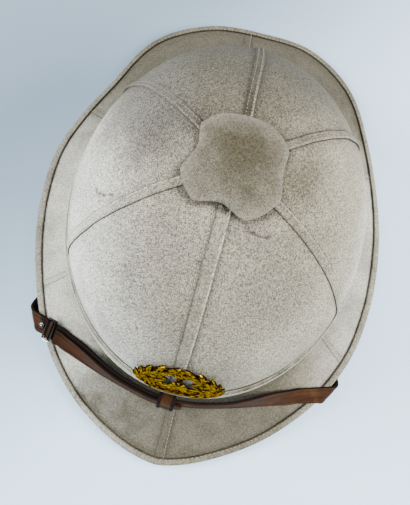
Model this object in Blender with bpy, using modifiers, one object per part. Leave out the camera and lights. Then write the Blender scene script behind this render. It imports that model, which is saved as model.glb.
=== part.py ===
"""Pith helmet: a cork crown and brim covered in cloth, with lapped seams, a taped edge,
a pleated hat band, a lobed vent cap, a gilt wreath badge and a leather chin strap.

Metres, +Z up. The helmet rests on its brim at z = 0, its front towards -Y and the
wearer's left towards +X. The origin is under the middle of the whole helmet.
"""

import math
from collections import namedtuple

import bmesh
import bpy
from mathutils import Matrix, Vector

# Clearances
GAP = 0.0003
LOOSE = 0.0004

# Brim
BRIM_WIDTH = 0.2456
PEAK_REACH = 0.164
BACK_REACH = 0.171
BRIM_WALL = 0.0035
BRIM_FLARE = 0.0025
SIDE_RISE = 0.0143
FRONT_REST = 15.0
BACK_REST = 35.0
JOIN_HEIGHT = 0.036

# Crown
CROWN_OFFSET = 0.0016
CROWN_WIDTH = 0.185
CROWN_LENGTH = 0.2212
CROWN_TOP = 0.150
CROWN_WALL = 0.005
CROWN_FULLNESS = 2.29
CROWN_BULGE = 0.029
CROWN_FLAT = 0.0115
VENT_HOLE = 0.0063

# Edge tape, folded over the brim's edge
TAPE_WALL = 0.0009
TAPE_LEG = 0.0048
TAPE_FOOT = 0.0022

# Lapped seams
SEAM_WALL = 0.0009

# Hat band
BAND_HEIGHT = 0.019
BAND_TOP_DEPTH = 0.0012
BAND_STEP = 0.0009
PLEAT_ROLL = 0.0016
PLEATS = 4

# Vent cap and the post that carries it
CAP_RADIUS = 0.0292
CAP_WALL = 0.0016
CAP_TOP = 0.1605
CAP_RIM_LIFT = 0.0014
CAP_ARCH = 0.0022
CAP_LIP = 0.0014
CAP_DOME = 2.4
POST_SEAT = 0.0085
POST_FLANGE = 0.0095
POST_FLANGE_WALL = 0.0015

# Chin strap
STRAP_WIDTH = 0.0108
STRAP_WALL = 0.002
STRAP_BEARING = 47.0
STRAP_LIFT = 0.0042
STRAP_ANCHOR_RUN = 0.018
STRAP_TOP_RUN = 0.014
STRAP_BEND = 0.003
STRAP_OFF_WALL = 0.0012
STRAP_COVER = 0.0006
STRAP_EASE = 0.0065
TAIL_WIDTH = 0.0098
TAIL_WALL = 0.0018
TAIL_DROP = 0.0012
TAIL_PAST_KEEPER = 0.004
KEEPER_WALL = 0.0011
FRONT_KEEPER_LENGTH = 0.011
FRONT_KEEPER_PLACE = -0.0035
SIDE_KEEPER_LENGTH = 0.0036
SIDE_KEEPER_FROM_EDGE = 0.0085
BUCKLE_WIRE = 0.0013
BUCKLE_LENGTH = 0.0066
STUD_RADIUS = 0.0018
STUD_HEIGHT = 0.0016
STUD_FROM_EDGE = 0.0021

# Badge
BADGE_WIDTH = 0.054
BADGE_HEIGHT = 0.040
BADGE_LIFT = 0.0018
BADGE_WALL = 0.0011
BADGE_RING = 0.0042
LEAF_LENGTH = 0.0098
LEAF_WIDTH = 0.0042
LEAF_THICKNESS = 0.0026
LEAVES_PER_SIDE = 7
SCROLL_LENGTH = 0.034
SCROLL_HEIGHT = 0.0068
SCROLL_WALL = 0.0016

# Modelling steps
SEGMENTS = 60
CROWN_ROWS = 8
BRIM_ROWS = 6
CAP_SEGMENTS = 36
CAP_ROWS = 4

# Brim outline: bearing from the front in degrees, and the reach on the wearer's right (-X)
# and left (+X), as shares of an ellipse through the widths and the two reaches above.
OUTLINE = [
    dict(bearing=0, right=1.000, left=1.000),
    dict(bearing=15, right=0.977, left=0.973),
    dict(bearing=30, right=0.972, left=0.982),
    dict(bearing=45, right=0.971, left=1.006),
    dict(bearing=60, right=0.966, left=1.022),
    dict(bearing=75, right=0.976, left=1.011),
    dict(bearing=90, right=0.993, left=0.999),
    dict(bearing=105, right=1.009, left=0.996),
    dict(bearing=120, right=0.998, left=1.000),
    dict(bearing=135, right=0.996, left=1.020),
    dict(bearing=150, right=1.041, left=1.055),
    dict(bearing=165, right=1.024, left=1.040),
    dict(bearing=180, right=1.000, left=1.000),
]

# Lapped seams: bearings in degrees from the front towards the wearer's left, and the widths
# of the strips in metres.
SEAMS = [
    dict(name="front", crown=-0.8, crown_width=0.0078, brim=0.5, brim_width=0.0055),
    dict(name="front_left", crown=62.0, crown_width=0.0054, brim=58.0, brim_width=0.0042),
    dict(name="back_left", crown=129.0, crown_width=0.0054, brim=125.0, brim_width=0.0042),
    dict(name="back", crown=180.0, crown_width=0.0054, brim=183.0, brim_width=0.0042),
    dict(name="back_right", crown=231.0, crown_width=0.0054, brim=237.0, brim_width=0.0042),
    dict(name="front_right", crown=298.0, crown_width=0.0054, brim=302.0, brim_width=0.0042),
]

# Hollows in the vent cap's outline: bearing, depth as a share of its radius, half angle.
CAP_HOLLOWS = [
    dict(bearing=-8.0, depth=0.22, half_angle=27.0),
    dict(bearing=93.0, depth=0.13, half_angle=25.0),
    dict(bearing=180.0, depth=0.09, half_angle=26.0),
    dict(bearing=-103.0, depth=0.17, half_angle=23.0),
]

COLOURS = {
    "cover cloth": dict(colour=(0.56, 0.53, 0.47), roughness=0.9, metallic=0.0),
    "seam cloth": dict(colour=(0.58, 0.55, 0.49), roughness=0.9, metallic=0.0),
    "edge tape": dict(colour=(0.50, 0.48, 0.41), roughness=0.8, metallic=0.0),
    "band cloth": dict(colour=(0.62, 0.60, 0.53), roughness=0.9, metallic=0.0),
    "brown leather": dict(colour=(0.13, 0.06, 0.04), roughness=0.45, metallic=0.0),
    "gilt brass": dict(colour=(0.62, 0.44, 0.14), roughness=0.35, metallic=1.0),
    "nickel": dict(colour=(0.72, 0.71, 0.68), roughness=0.3, metallic=1.0),
    "zinc": dict(colour=(0.45, 0.46, 0.47), roughness=0.5, metallic=1.0),
}


def clear_scene():
    for obj in list(bpy.data.objects):
        bpy.data.objects.remove(obj, do_unlink=True)


def make_collection(name):
    collection = bpy.data.collections.new(name)
    bpy.context.scene.collection.children.link(collection)
    return collection


def make_material(name, finish):
    material = bpy.data.materials.new(name)
    material.use_nodes = True
    shader = material.node_tree.nodes["Principled BSDF"]
    shader.inputs["Base Color"].default_value = (*COLOURS[finish]["colour"], 1.0)
    shader.inputs["Roughness"].default_value = COLOURS[finish]["roughness"]
    shader.inputs["Metallic"].default_value = COLOURS[finish]["metallic"]
    return material


# Shared outlines

def crown_centre():
    """Plan position of the crown's axis, from which every bearing is measured."""
    return Vector((CROWN_OFFSET, (PEAK_REACH - BACK_REACH) / 2, 0.0))


def place(turn, radius, height):
    centre = crown_centre()
    return Vector((centre.x + radius * math.sin(turn), centre.y - radius * math.cos(turn), height))


def bearing_of(point):
    centre = crown_centre()
    return math.atan2(point.x - centre.x, centre.y - point.y)


def radius_of(point):
    centre = crown_centre()
    return math.hypot(point.x - centre.x, point.y - centre.y)


def ellipse_reach(turn, half_x, half_y):
    return 1.0 / math.hypot(math.sin(turn) / half_x, math.cos(turn) / half_y)


def crown_radius(turn):
    return ellipse_reach(turn, CROWN_WIDTH / 2, CROWN_LENGTH / 2)


def smooth_row(values, place_in_rows):
    """Catmull-Rom value between evenly spaced rows, mirrored past the last one."""
    index = min(int(place_in_rows), len(values) - 2)
    part = place_in_rows - index
    before = values[index - 1] if index > 0 else 2 * values[0] - values[1]
    after = values[index + 2] if index + 2 < len(values) else values[index]
    a, b = values[index], values[index + 1]
    slope_a, slope_b = (b - before) / 2, (after - a) / 2
    return ((2 * part ** 3 - 3 * part ** 2 + 1) * a + (part ** 3 - 2 * part ** 2 + part) * slope_a
            + (3 * part ** 2 - 2 * part ** 3) * b + (part ** 3 - part ** 2) * slope_b)


def raw_reach(turn):
    turn = math.remainder(turn, 2 * math.pi)
    side = "left" if turn >= 0 else "right"
    half_width = BRIM_WIDTH / 2 - CROWN_OFFSET * (1 if turn >= 0 else -1)
    reach = PEAK_REACH if math.cos(turn) > 0 else BACK_REACH
    step = OUTLINE[1]["bearing"] - OUTLINE[0]["bearing"]
    share = smooth_row([row[side] for row in OUTLINE], abs(math.degrees(turn)) / step)
    return share * ellipse_reach(turn, half_width, reach)


def side_stretches():
    """Factors that bring the widest point of each side exactly to the brim's half width."""
    turns = [math.radians(step * 0.5) for step in range(1, 360)]
    stretches = {}
    for name, sign in (("left", 1), ("right", -1)):
        widest = max(raw_reach(sign * turn) * math.sin(turn) for turn in turns)
        stretches[name] = (BRIM_WIDTH / 2 - sign * CROWN_OFFSET) / widest
    return stretches


SIDE_STRETCH = side_stretches()


def edge_radius(turn):
    """Plan reach of the taped edge from the crown's axis."""
    turn = math.remainder(turn, 2 * math.pi)
    stretch = SIDE_STRETCH["left" if turn >= 0 else "right"]
    return raw_reach(turn) * math.hypot(stretch * math.sin(turn), math.cos(turn))


def brim_inner(turn):
    return crown_radius(turn) + GAP


def brim_outer(turn):
    return edge_radius(turn) - GAP - TAPE_WALL


def foot_height(turn):
    """Height of the edge's underside: level at the front and back, raised at the sides."""
    degrees = abs(math.degrees(math.remainder(turn, 2 * math.pi)))
    rise = (degrees - FRONT_REST) / (180.0 - FRONT_REST - BACK_REST)
    return SIDE_RISE * math.sin(math.pi * min(max(rise, 0.0), 1.0)) ** 2


def slope_at(turn, share, edge_height):
    run = brim_outer(turn) - brim_inner(turn)
    return (edge_height - JOIN_HEIGHT - 4 * BRIM_FLARE * (1 - 2 * share)) / run


def corner_drop(turn, edge_height):
    """How far the tape's lower outer corner lies under the brim's upper edge."""
    slope = math.atan(slope_at(turn, 1.0, edge_height))
    return (BRIM_WALL + GAP + TAPE_WALL) * math.cos(slope) - (GAP + 0.6 * TAPE_WALL) * math.sin(slope)


def edge_height(turn):
    height = 0.0
    for _ in range(5):
        height = foot_height(turn) + corner_drop(turn, height)
    return height


def brim_height(turn, radius):
    """Height of the brim's upper face."""
    inner, outer = brim_inner(turn), brim_outer(turn)
    share = (radius - inner) / (outer - inner)
    sag = 4 * BRIM_FLARE * share * (1 - share) if 0 < share < 1 else 0.0
    return JOIN_HEIGHT + (edge_height(turn) - JOIN_HEIGHT) * share - sag


def brim_offset(turn, radius, distance):
    """A point at a distance from the brim's upper face, as (radius, height)."""
    inner, outer = brim_inner(turn), brim_outer(turn)
    share = min(max((radius - inner) / (outer - inner), 0.0), 1.0)
    slope = math.atan(slope_at(turn, share, edge_height(turn)))
    return radius - distance * math.sin(slope), brim_height(turn, radius) + distance * math.cos(slope)


def crown_share(height):
    """The crown's size at a height, as a share of its size at the brim."""
    rise = min(max((height - JOIN_HEIGHT) / (CROWN_TOP - JOIN_HEIGHT), 0.0), 1.0)
    full = (1 - rise ** CROWN_FULLNESS) ** (1 / CROWN_FULLNESS)
    return full * (1 + CROWN_BULGE * math.sin(math.pi * min(1.6 * rise, 1.0)))


def crown_heights():
    """Heights of the crown's rows, closer together towards the top."""
    last = math.radians(82.0)
    quarter = [last * row / CROWN_ROWS for row in range(CROWN_ROWS + 1)]
    return [JOIN_HEIGHT + (CROWN_TOP - JOIN_HEIGHT) * math.sin(a) ** (2 / CROWN_FULLNESS) for a in quarter]


def ring_turns(count):
    return [2 * math.pi * step / count for step in range(count)]


# Mesh helpers

def add_object(name, mesh, collection, finish):
    obj = bpy.data.objects.new(name, mesh)
    obj.data.materials.clear()
    obj.data.materials.append(make_material(name.replace("_", " "), finish))
    collection.objects.link(obj)
    return obj


def grid_mesh(name, rows, closed_rows=False, closed_columns=False, close_first=False, close_last=False):
    """A sheet of quads through rows of points. Its faces look along (next column) x (next row)."""
    mesh = bpy.data.meshes.new(name)
    shape = bmesh.new()
    verts = [[shape.verts.new(point) for point in row] for row in rows]
    row_count, column_count = len(rows), len(rows[0])
    for i in range(row_count if closed_rows else row_count - 1):
        for j in range(column_count if closed_columns else column_count - 1):
            a, b = verts[i], verts[(i + 1) % row_count]
            k = (j + 1) % column_count
            shape.faces.new((a[j], a[k], b[k], b[j]))
    if close_first:
        shape.faces.new(list(reversed(verts[0])))
    if close_last:
        shape.faces.new(verts[-1])
    shape.to_mesh(mesh)
    shape.free()
    return mesh


def shade(obj, sharp_degrees=40.0):
    obj.data.shade_smooth()
    obj.data.set_sharp_from_angle(angle=math.radians(sharp_degrees))
    return obj


def add_wall(obj, thickness, outwards):
    solidify = obj.modifiers.new("wall", "SOLIDIFY")
    solidify.thickness = thickness
    solidify.offset = 1.0 if outwards else -1.0
    solidify.use_even_offset = True
    solidify.use_rim = True
    return obj


# Crown, brim and edge tape

def make_crown(collection):
    rows = []
    heights = [JOIN_HEIGHT - BRIM_WALL] + crown_heights()
    for height in heights:
        rows.append([place(turn, crown_radius(turn) * crown_share(height), height)
                     for turn in ring_turns(SEGMENTS)])
    for radius in (CROWN_FLAT, VENT_HOLE):
        rows.append([place(turn, radius, CROWN_TOP) for turn in ring_turns(SEGMENTS)])
    crown = add_object("crown", grid_mesh("crown", rows, closed_columns=True), collection, "cover cloth")
    add_wall(crown, CROWN_WALL, outwards=False)
    return shade(crown)


def brim_section(turn):
    inner, outer = brim_inner(turn), brim_outer(turn)
    last = outer - TAPE_LEG
    radii = [inner + (last - inner) * row / (BRIM_ROWS - 2) for row in range(BRIM_ROWS - 1)] + [outer]
    upper = [(radius, brim_height(turn, radius)) for radius in radii]
    lower = [brim_offset(turn, radius, -BRIM_WALL) for radius in radii]
    lower = [(max(radius, inner), height) for radius, height in lower]
    return upper + lower[::-1]


def tape_section(turn):
    """The folded tape's section, from the end of its upper leg round the edge and back inside."""
    outer = brim_outer(turn)
    top = brim_height(turn, outer)
    slope = math.atan2(top - brim_height(turn, outer - TAPE_LEG), TAPE_LEG)
    along, up = (math.cos(slope), math.sin(slope)), (-math.sin(slope), math.cos(slope))

    def at(out, rise):
        return outer + out * along[0] + rise * up[0], top + out * along[1] + rise * up[1]

    inside, outside = GAP, GAP + TAPE_WALL
    foot = at(GAP + 0.6 * TAPE_WALL, -BRIM_WALL - outside)
    flat = TAPE_FOOT * max(1 - foot_height(turn) / TAPE_LEG, 0.1)
    return [
        at(-TAPE_LEG, outside),
        at(GAP + 0.3 * TAPE_WALL, outside),
        at(outside, -BRIM_WALL / 2),
        (foot[0], foot_height(turn)),
        (foot[0] - flat, foot_height(turn)),
        at(-TAPE_LEG, -BRIM_WALL - outside),
        at(-TAPE_LEG, -BRIM_WALL - inside),
        at(inside, -BRIM_WALL - inside),
        at(inside, inside),
        at(-TAPE_LEG, inside),
    ]


def ring_from_sections(name, section, collection, finish):
    """A closed ring lofted through one section for each bearing."""
    columns = [[place(turn, radius, height) for radius, height in section(turn)]
               for turn in ring_turns(SEGMENTS)]
    mesh = grid_mesh(name, columns, closed_rows=True, closed_columns=True)
    return shade(add_object(name, mesh, collection, finish), 35.0)


# Hat band

def band_height_at(turn):
    return brim_height(turn, crown_radius(turn) + band_depth(PLEATS)) + 1.5 * GAP


def band_depth(pleat):
    return BAND_TOP_DEPTH + BAND_STEP * pleat


def band_top():
    return JOIN_HEIGHT + BAND_HEIGHT


def band_section(turn):
    """Stacked pleats: each rolls out below its crease and stands proud of the one above."""
    radius = crown_radius(turn)
    inner_low = JOIN_HEIGHT + GAP
    top = band_top()
    section = [(radius + 2 * GAP, inner_low), (radius * crown_share(top) + GAP, top)]
    low = band_height_at(turn)
    for pleat in range(PLEATS):
        crease = top - (top - low) * pleat / PLEATS
        fall = (top - low) / PLEATS
        wall = radius * crown_share(crease) - radius
        section.append((radius + wall + band_depth(pleat), crease))
        section.append((radius + wall + band_depth(pleat) + PLEAT_ROLL, crease - 0.62 * fall))
    section.append((radius + band_depth(PLEATS), low))
    return section


def band_reach(turn):
    """How far the lowest pleat reaches from the crown's axis."""
    return max(radius for radius, _ in band_section(turn))


# Lapped seams

def crown_seam_rows(bearing, width):
    low = band_top() + GAP
    heights = [low] + [height for height in crown_heights() if height > low + width / 2]
    rows = []
    for height in heights:
        radius = crown_radius(bearing) * crown_share(height)
        half = width / 2 / radius
        rows.append([place(turn, crown_radius(turn) * crown_share(height) + GAP, height + 0.5 * GAP)
                     for turn in (bearing - half, bearing + half)])
    return rows


def brim_seam_rows(bearing, width):
    first = band_reach(bearing) + GAP
    last = brim_outer(bearing) - TAPE_LEG - GAP
    rows = []
    for step in range(BRIM_ROWS):
        radius = last + (first - last) * step / (BRIM_ROWS - 1)
        half = width / 2 / radius
        row = []
        for turn in (bearing - half, bearing + half):
            edge_shift = (edge_radius(turn) - edge_radius(bearing)) * (1 - step / (BRIM_ROWS - 1))
            band_shift = (band_reach(turn) - band_reach(bearing)) * step / (BRIM_ROWS - 1)
            reach, height = brim_offset(turn, radius + edge_shift + band_shift, GAP)
            row.append(place(turn, reach, height))
        rows.append(row)
    return rows


def make_seams(collection):
    for seam in SEAMS:
        for part, seam_rows in (("crown", crown_seam_rows), ("brim", brim_seam_rows)):
            name = part + "_seam_" + seam["name"]
            rows = seam_rows(math.radians(seam[part]), seam[part + "_width"])
            strip = add_object(name, grid_mesh(name, rows), collection, "seam cloth")
            shade(add_wall(strip, SEAM_WALL, outwards=True))


# Vent cap and post

def cap_hollow(degrees):
    """Depth of the outline's hollows at a bearing, as a share of the cap's radius."""
    depth = 0.0
    for hollow in CAP_HOLLOWS:
        away = abs(math.remainder(degrees - hollow["bearing"], 360.0)) / hollow["half_angle"]
        if away < 1:
            depth += hollow["depth"] * (0.5 + 0.5 * math.cos(math.pi * away)) ** 0.75
    return depth


def cap_point(turn, share):
    """A point of the cap's upper face at a share of the way from its middle to its rim."""
    hollow = cap_hollow(math.degrees(turn))
    rim = CROWN_TOP + CAP_RIM_LIFT + CAP_ARCH * hollow / CAP_HOLLOWS[0]["depth"]
    height = CAP_TOP - (CAP_TOP - rim) * share ** CAP_DOME
    return place(turn, share * CAP_RADIUS * (1 - hollow * share ** 2), height)


def make_vent_cap(collection):
    rows = []
    for turn_down in (CAP_LIP, 0.0):
        rows.append([cap_point(turn, 1.0) - Vector((0, 0, turn_down)) for turn in ring_turns(CAP_SEGMENTS)])
    for row in range(CAP_ROWS - 1, 0, -1):
        rows.append([cap_point(turn, row / CAP_ROWS) for turn in ring_turns(CAP_SEGMENTS)])
    mesh = grid_mesh("vent_cap", rows, closed_columns=True, close_last=True)
    cap = add_object("vent_cap", mesh, collection, "cover cloth")
    return shade(add_wall(cap, CAP_WALL, outwards=False))


def make_vent_post(collection):
    """A plain turned rivet through the crown's hole, with a flange inside it."""
    seat_top = cap_point(0.0, POST_SEAT / CAP_RADIUS).z - CAP_WALL - GAP
    inner_face = CROWN_TOP - CROWN_WALL - GAP
    post_radius = VENT_HOLE - LOOSE
    profile = [
        (0.0, seat_top),
        (POST_SEAT, seat_top),
        (POST_SEAT, CROWN_TOP + GAP),
        (post_radius, CROWN_TOP + GAP),
        (post_radius, inner_face),
        (POST_FLANGE, inner_face),
        (POST_FLANGE, inner_face - POST_FLANGE_WALL),
        (0.0, inner_face - POST_FLANGE_WALL),
    ]
    mesh = bpy.data.meshes.new("vent_post")
    mesh.from_pydata([(radius, 0.0, height) for radius, height in profile],
                     [(k, k + 1) for k in range(len(profile) - 1)], [])
    post = add_object("vent_post", mesh, collection, "zinc")
    post.location = crown_centre()
    screw = post.modifiers.new("turned", "SCREW")
    screw.steps = 16
    screw.render_steps = 16
    screw.use_merge_vertices = True
    screw.merge_threshold = 0.00005
    return post


# Chin strap

# One place along the strap: its inner face from the lower edge (low) to the upper one (high),
# and its distance from the middle, negative on the wearer's right.
Station = namedtuple("Station", "distance low middle high")


def edge_frame(turn, side):
    """A point on the brim's cork edge, the way along the edge away from the front, and outwards."""
    step = 0.01 * side
    here = place(turn, brim_outer(turn), 0.0)
    along = (place(turn + step, brim_outer(turn + step), 0.0)
             - place(turn - step, brim_outer(turn - step), 0.0)).normalized()
    outwards = Vector((along.y, -along.x, 0.0)) * side
    return here, along, outwards


def strap_wall_radius(turn):
    return crown_radius(turn) - CROWN_WALL - STRAP_OFF_WALL


def strap_profile(turn, side, cover):
    """The strap's inner face in the upright plane square to the edge: over the brim, round the
    edge, back under the brim and up the crown's inside wall."""
    here, _, outwards = edge_frame(turn, side)
    above = GAP + TAPE_WALL + cover
    upwards = Vector((0.0, 0.0, 1.0))

    def surface(inward, distance):
        plan = here - outwards * inward
        nearer = plan - outwards * TAPE_LEG
        height = brim_height(bearing_of(plan), radius_of(plan))
        fall = height - brim_height(bearing_of(nearer), radius_of(nearer))
        along = (outwards * TAPE_LEG + upwards * fall).normalized()
        square = (upwards - along * along.z).normalized()
        return plan + upwards * height + square * distance, along, square

    points = [surface(STRAP_TOP_RUN * (1 - step / 4), above)[0] for step in range(4)]
    middle, along, square = surface(0.0, -BRIM_WALL / 2)
    bend = BRIM_WALL / 2 + above
    for step in range(7):
        angle = math.pi * step / 6
        points.append(middle + along * bend * math.sin(angle) + square * bend * math.cos(angle))

    low = JOIN_HEIGHT - BRIM_WALL - above
    reach = 0.0
    while radius_of(here - outwards * reach) > strap_wall_radius(bearing_of(here - outwards * reach)):
        reach += 0.0001
    for step in range(1, 9):
        inward = (reach - STRAP_BEND) * step / 9
        point = surface(inward, -BRIM_WALL - above)[0]
        if (here - point).dot(outwards) < reach - STRAP_BEND:
            points.append(Vector((point.x, point.y, min(point.z, low))))
    for step in range(4):
        angle = math.pi / 2 * step / 3
        inward = reach - STRAP_BEND * (1 - math.sin(angle))
        points.append(here - outwards * inward + upwards * (low + STRAP_BEND * (1 - math.cos(angle))))
    end = here - outwards * (reach - STRAP_OFF_WALL + GAP)
    points.append(end + upwards * (low + STRAP_BEND + STRAP_ANCHOR_RUN))
    return points


def along_chain(points, distance):
    """The point at a distance along a chain of points, run on straight past its ends."""
    for first, second in zip(points, points[1:]):
        length = (second - first).length
        if distance <= length or second is points[-1]:
            return first.lerp(second, distance / length)
        distance -= length
    return points[-1]


def chain_length(points):
    return sum((second - first).length for first, second in zip(points, points[1:]))


def smooth_step(value):
    value = min(max(value, 0.0), 1.0)
    return value * value * (3 - 2 * value)


def hug_radius(turn):
    """Plan reach of the strap's inner face where it stands against the hat band."""
    return band_reach(turn) + GAP + KEEPER_WALL + LOOSE


def hug_across(turn):
    """The way from the strap's lower edge to its upper one where it leans on the hat band."""
    rise = band_top() - band_height_at(turn)
    lean = math.atan2(BAND_STEP * PLEATS + PLEAT_ROLL, rise)
    back = (crown_centre() - place(turn, 1.0, 0.0)).normalized()
    return (back * math.sin(lean) + Vector((0, 0, math.cos(lean)))).normalized()


def brim_normal(point):
    """The upward normal of the brim's upper face under a point."""
    slopes = []
    for shift in (Vector((0.001, 0, 0)), Vector((0, 0.001, 0))):
        ahead, behind = point + shift, point - shift
        slopes.append((brim_height(bearing_of(ahead), radius_of(ahead))
                       - brim_height(bearing_of(behind), radius_of(behind))) / 0.002)
    return Vector((-slopes[0], -slopes[1], 1.0)).normalized()


def fold_point(side, turn, inward, sideways, cover):
    """The strap's inner face at a way inward from the edge and sideways along it."""
    here, _, _ = edge_frame(turn, side)
    edge = radius_of(here)
    flat = max(min(inward, STRAP_TOP_RUN), -STRAP_TOP_RUN * 4)
    gather = edge / (edge - 0.8 * abs(flat))
    near = turn + side * sideways * gather / edge
    return along_chain(strap_profile(near, side, cover), STRAP_TOP_RUN - inward)


def side_keeper_cover(side, from_edge):
    """Room under the strap; more from the side keeper onwards, which goes round it."""
    if side > 0:
        return STRAP_COVER
    before = from_edge - SIDE_KEEPER_FROM_EDGE - SIDE_KEEPER_LENGTH
    return STRAP_COVER + (KEEPER_WALL + LOOSE) * (1 - smooth_step(before / STRAP_EASE))


def tangent_turn(side, end):
    """The bearing where the straight stretch to a point leaves the hat band."""
    centre = crown_centre()
    widest, best = -1.0, 0.0
    for step in range(0, 181):
        turn = side * math.radians(step * 0.25)
        way = place(turn, hug_radius(turn), 0.0) - end
        inwards = centre - end
        angle = math.atan2(side * (inwards.x * way.y - inwards.y * way.x), inwards.dot(way))
        if angle > widest:
            widest, best = angle, turn
    return best


def fold_angle(side, turn, start, end):
    """Angle between the strap's run and the way straight out over the edge."""
    _, along, outwards = edge_frame(turn, side)
    run = (end - start).normalized()
    return math.atan2(run.dot(along), run.dot(outwards))


def fold_start(side, turn, angle):
    """Where the flat stretch over the edge begins, on the strap's lower edge."""
    half = STRAP_WIDTH / 2
    inward = STRAP_TOP_RUN - half * math.sin(angle)
    sideways = -STRAP_TOP_RUN * math.tan(angle) - half * math.cos(angle)
    return fold_point(side, turn, inward, sideways, STRAP_COVER)


def strap_half(side):
    """Stations from the middle of the front to the anchor inside, on one side."""
    turn = side * math.radians(STRAP_BEARING)
    angle = math.radians(42.0)
    for _ in range(4):
        end = fold_start(side, turn, angle)
        flat_end = Vector((end.x, end.y, 0.0))
        leave = tangent_turn(side, flat_end)
        start = place(leave, hug_radius(leave), 0.0)
        angle = fold_angle(side, turn, start, flat_end)

    lows = [place(leave * step / 4, hug_radius(leave * step / 4), 0.0) for step in range(4)]
    straight_steps = 9
    lows += [start.lerp(flat_end, step / straight_steps) for step in range(straight_steps)]
    stations = []
    distance = 0.0
    for index, low in enumerate(lows):
        progress = max(index - 4, 0) / straight_steps
        if index:
            distance += (low - lows[index - 1]).length
        normal = brim_normal(low)
        run = (lows[index + 1] if index + 1 < len(lows) else flat_end) - low
        run = (run - normal * run.dot(normal)).normalized()
        settle = smooth_step((progress - 0.15) / 0.85)
        flat_across = normal.cross(run) * side
        across = hug_across(bearing_of(low)).lerp(flat_across, settle).normalized()
        lift = STRAP_LIFT + (GAP + TAPE_WALL + STRAP_COVER - STRAP_LIFT) * smooth_step(progress)
        base = Vector((low.x, low.y, brim_height(bearing_of(low), radius_of(low)))) + normal * lift
        points = [base + across * STRAP_WIDTH * share for share in (0.0, 0.5, 1.0)]
        stations.append(Station(side * distance, *points))
    distance += (flat_end - lows[-1]).length

    inward, sideways = STRAP_TOP_RUN, -STRAP_TOP_RUN * math.tan(angle)
    edge_distance = distance + STRAP_TOP_RUN / math.cos(angle)
    edge_cover = side_keeper_cover(side, 0.0)
    bend = math.pi * (BRIM_WALL / 2 + GAP + TAPE_WALL + edge_cover)
    end_run = chain_length(strap_profile(turn + side * 0.35, side, edge_cover))
    corner = end_run - STRAP_TOP_RUN - STRAP_ANCHOR_RUN
    while STRAP_TOP_RUN - inward < end_run:
        past = -inward
        now = angle * (1 - smooth_step((past - bend) / (end_run * 0.45)))
        skew = smooth_step(1 - (inward - 0.002) / (STRAP_TOP_RUN - 0.002))
        cover = side_keeper_cover(side, edge_distance - distance)
        points = []
        for share in (0.0, 0.5, 1.0):
            off = (share - 0.5) * STRAP_WIDTH
            deep = inward + off * math.sin(now) * (1 - skew)
            aside = sideways + off * (math.cos(now) + skew * math.sin(now) * math.tan(now))
            points.append(fold_point(side, turn, deep, aside, cover))
        stations.append(Station(side * distance, *points))
        bending = -0.002 < past < bend + 0.002
        turning = abs(past - corner) < 3 * STRAP_BEND
        step = 0.0016 if turning else 0.0023 if bending or past < 0 else 0.0048
        distance += step
        inward -= step * math.cos(now)
        sideways += step * math.sin(now)
    return stations, side * edge_distance


def strap_stations():
    right, right_edge = strap_half(-1)
    left, _ = strap_half(1)
    return right[::-1] + left[1:], right_edge


def station_at(stations, distance):
    for first, second in zip(stations, stations[1:]):
        if first.distance <= distance <= second.distance:
            part = (distance - first.distance) / (second.distance - first.distance)
            return Station(distance, *(a.lerp(b, part) for a, b in zip(first[1:], second[1:])))
    return stations[-1]


def strap_axes(stations, distance):
    """The lower edge of the strap at a place, and the ways along it, across it and outwards."""
    here = station_at(stations, distance)
    along = station_at(stations, distance + 0.002).middle - station_at(stations, distance - 0.002).middle
    along.normalize()
    across = here.high - here.low
    across = (across - along * across.dot(along)).normalized()
    return here.middle - across * STRAP_WIDTH / 2, along, across, along.cross(across)


def make_strap(collection, stations):
    rows = [[station.high, station.middle, station.low] for station in stations]
    strap = add_object("chin_strap", grid_mesh("chin_strap", rows), collection, "brown leather")
    return shade(add_wall(strap, STRAP_WALL, outwards=True), 60.0)


def make_strap_tail(collection, stations, edge_distance):
    """The strap's doubled end: it runs from the buckle through the front keeper."""
    first = edge_distance + SIDE_KEEPER_FROM_EDGE + BUCKLE_LENGTH / 2 + BUCKLE_WIRE + LOOSE
    last = FRONT_KEEPER_PLACE + FRONT_KEEPER_LENGTH / 2 + TAIL_PAST_KEEPER
    distances = [first] + [s.distance for s in stations if first + 0.002 < s.distance < last - 0.002] + [last]
    rows = []
    for distance in distances:
        low, _, across, face = strap_axes(stations, distance)
        base = low + face * (STRAP_WALL + GAP)
        rows.append([base + across * (TAIL_WIDTH * share - TAIL_DROP) for share in (1.0, 0.5, 0.0)])
    tail = add_object("strap_tail", grid_mesh("strap_tail", rows), collection, "brown leather")
    return shade(add_wall(tail, TAIL_WALL, outwards=True), 60.0)


def make_loop(collection, name, axes, length, low_edge, high_edge, depth):
    """A flat leather loop round the strap, with clipped corners."""
    low, along, across, face = axes
    clip = KEEPER_WALL * 0.8
    corners = []
    for wall in (0.0, KEEPER_WALL):
        x0, x1 = low_edge - LOOSE - wall, high_edge + LOOSE + wall
        y0, y1 = -LOOSE - wall, depth + LOOSE + wall
        cut = clip if wall else 0.0002
        corners.append([(x0 + cut, y0), (x1 - cut, y0), (x1, y0 + cut), (x1, y1 - cut),
                        (x1 - cut, y1), (x0 + cut, y1), (x0, y1 - cut), (x0, y0 + cut)])
    rows = []
    for inner, outer in zip(*corners):
        row = []
        for (x, y), end in ((inner, -0.5), (outer, -0.5), (outer, 0.5), (inner, 0.5)):
            row.append(low + across * x + face * y + along * length * end)
        rows.append(row)
    mesh = grid_mesh(name, rows, closed_rows=True, closed_columns=True)
    shape = bmesh.new()
    shape.from_mesh(mesh)
    bmesh.ops.recalc_face_normals(shape, faces=shape.faces)
    shape.to_mesh(mesh)
    shape.free()
    return add_object(name, mesh, collection, "brown leather")


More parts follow.
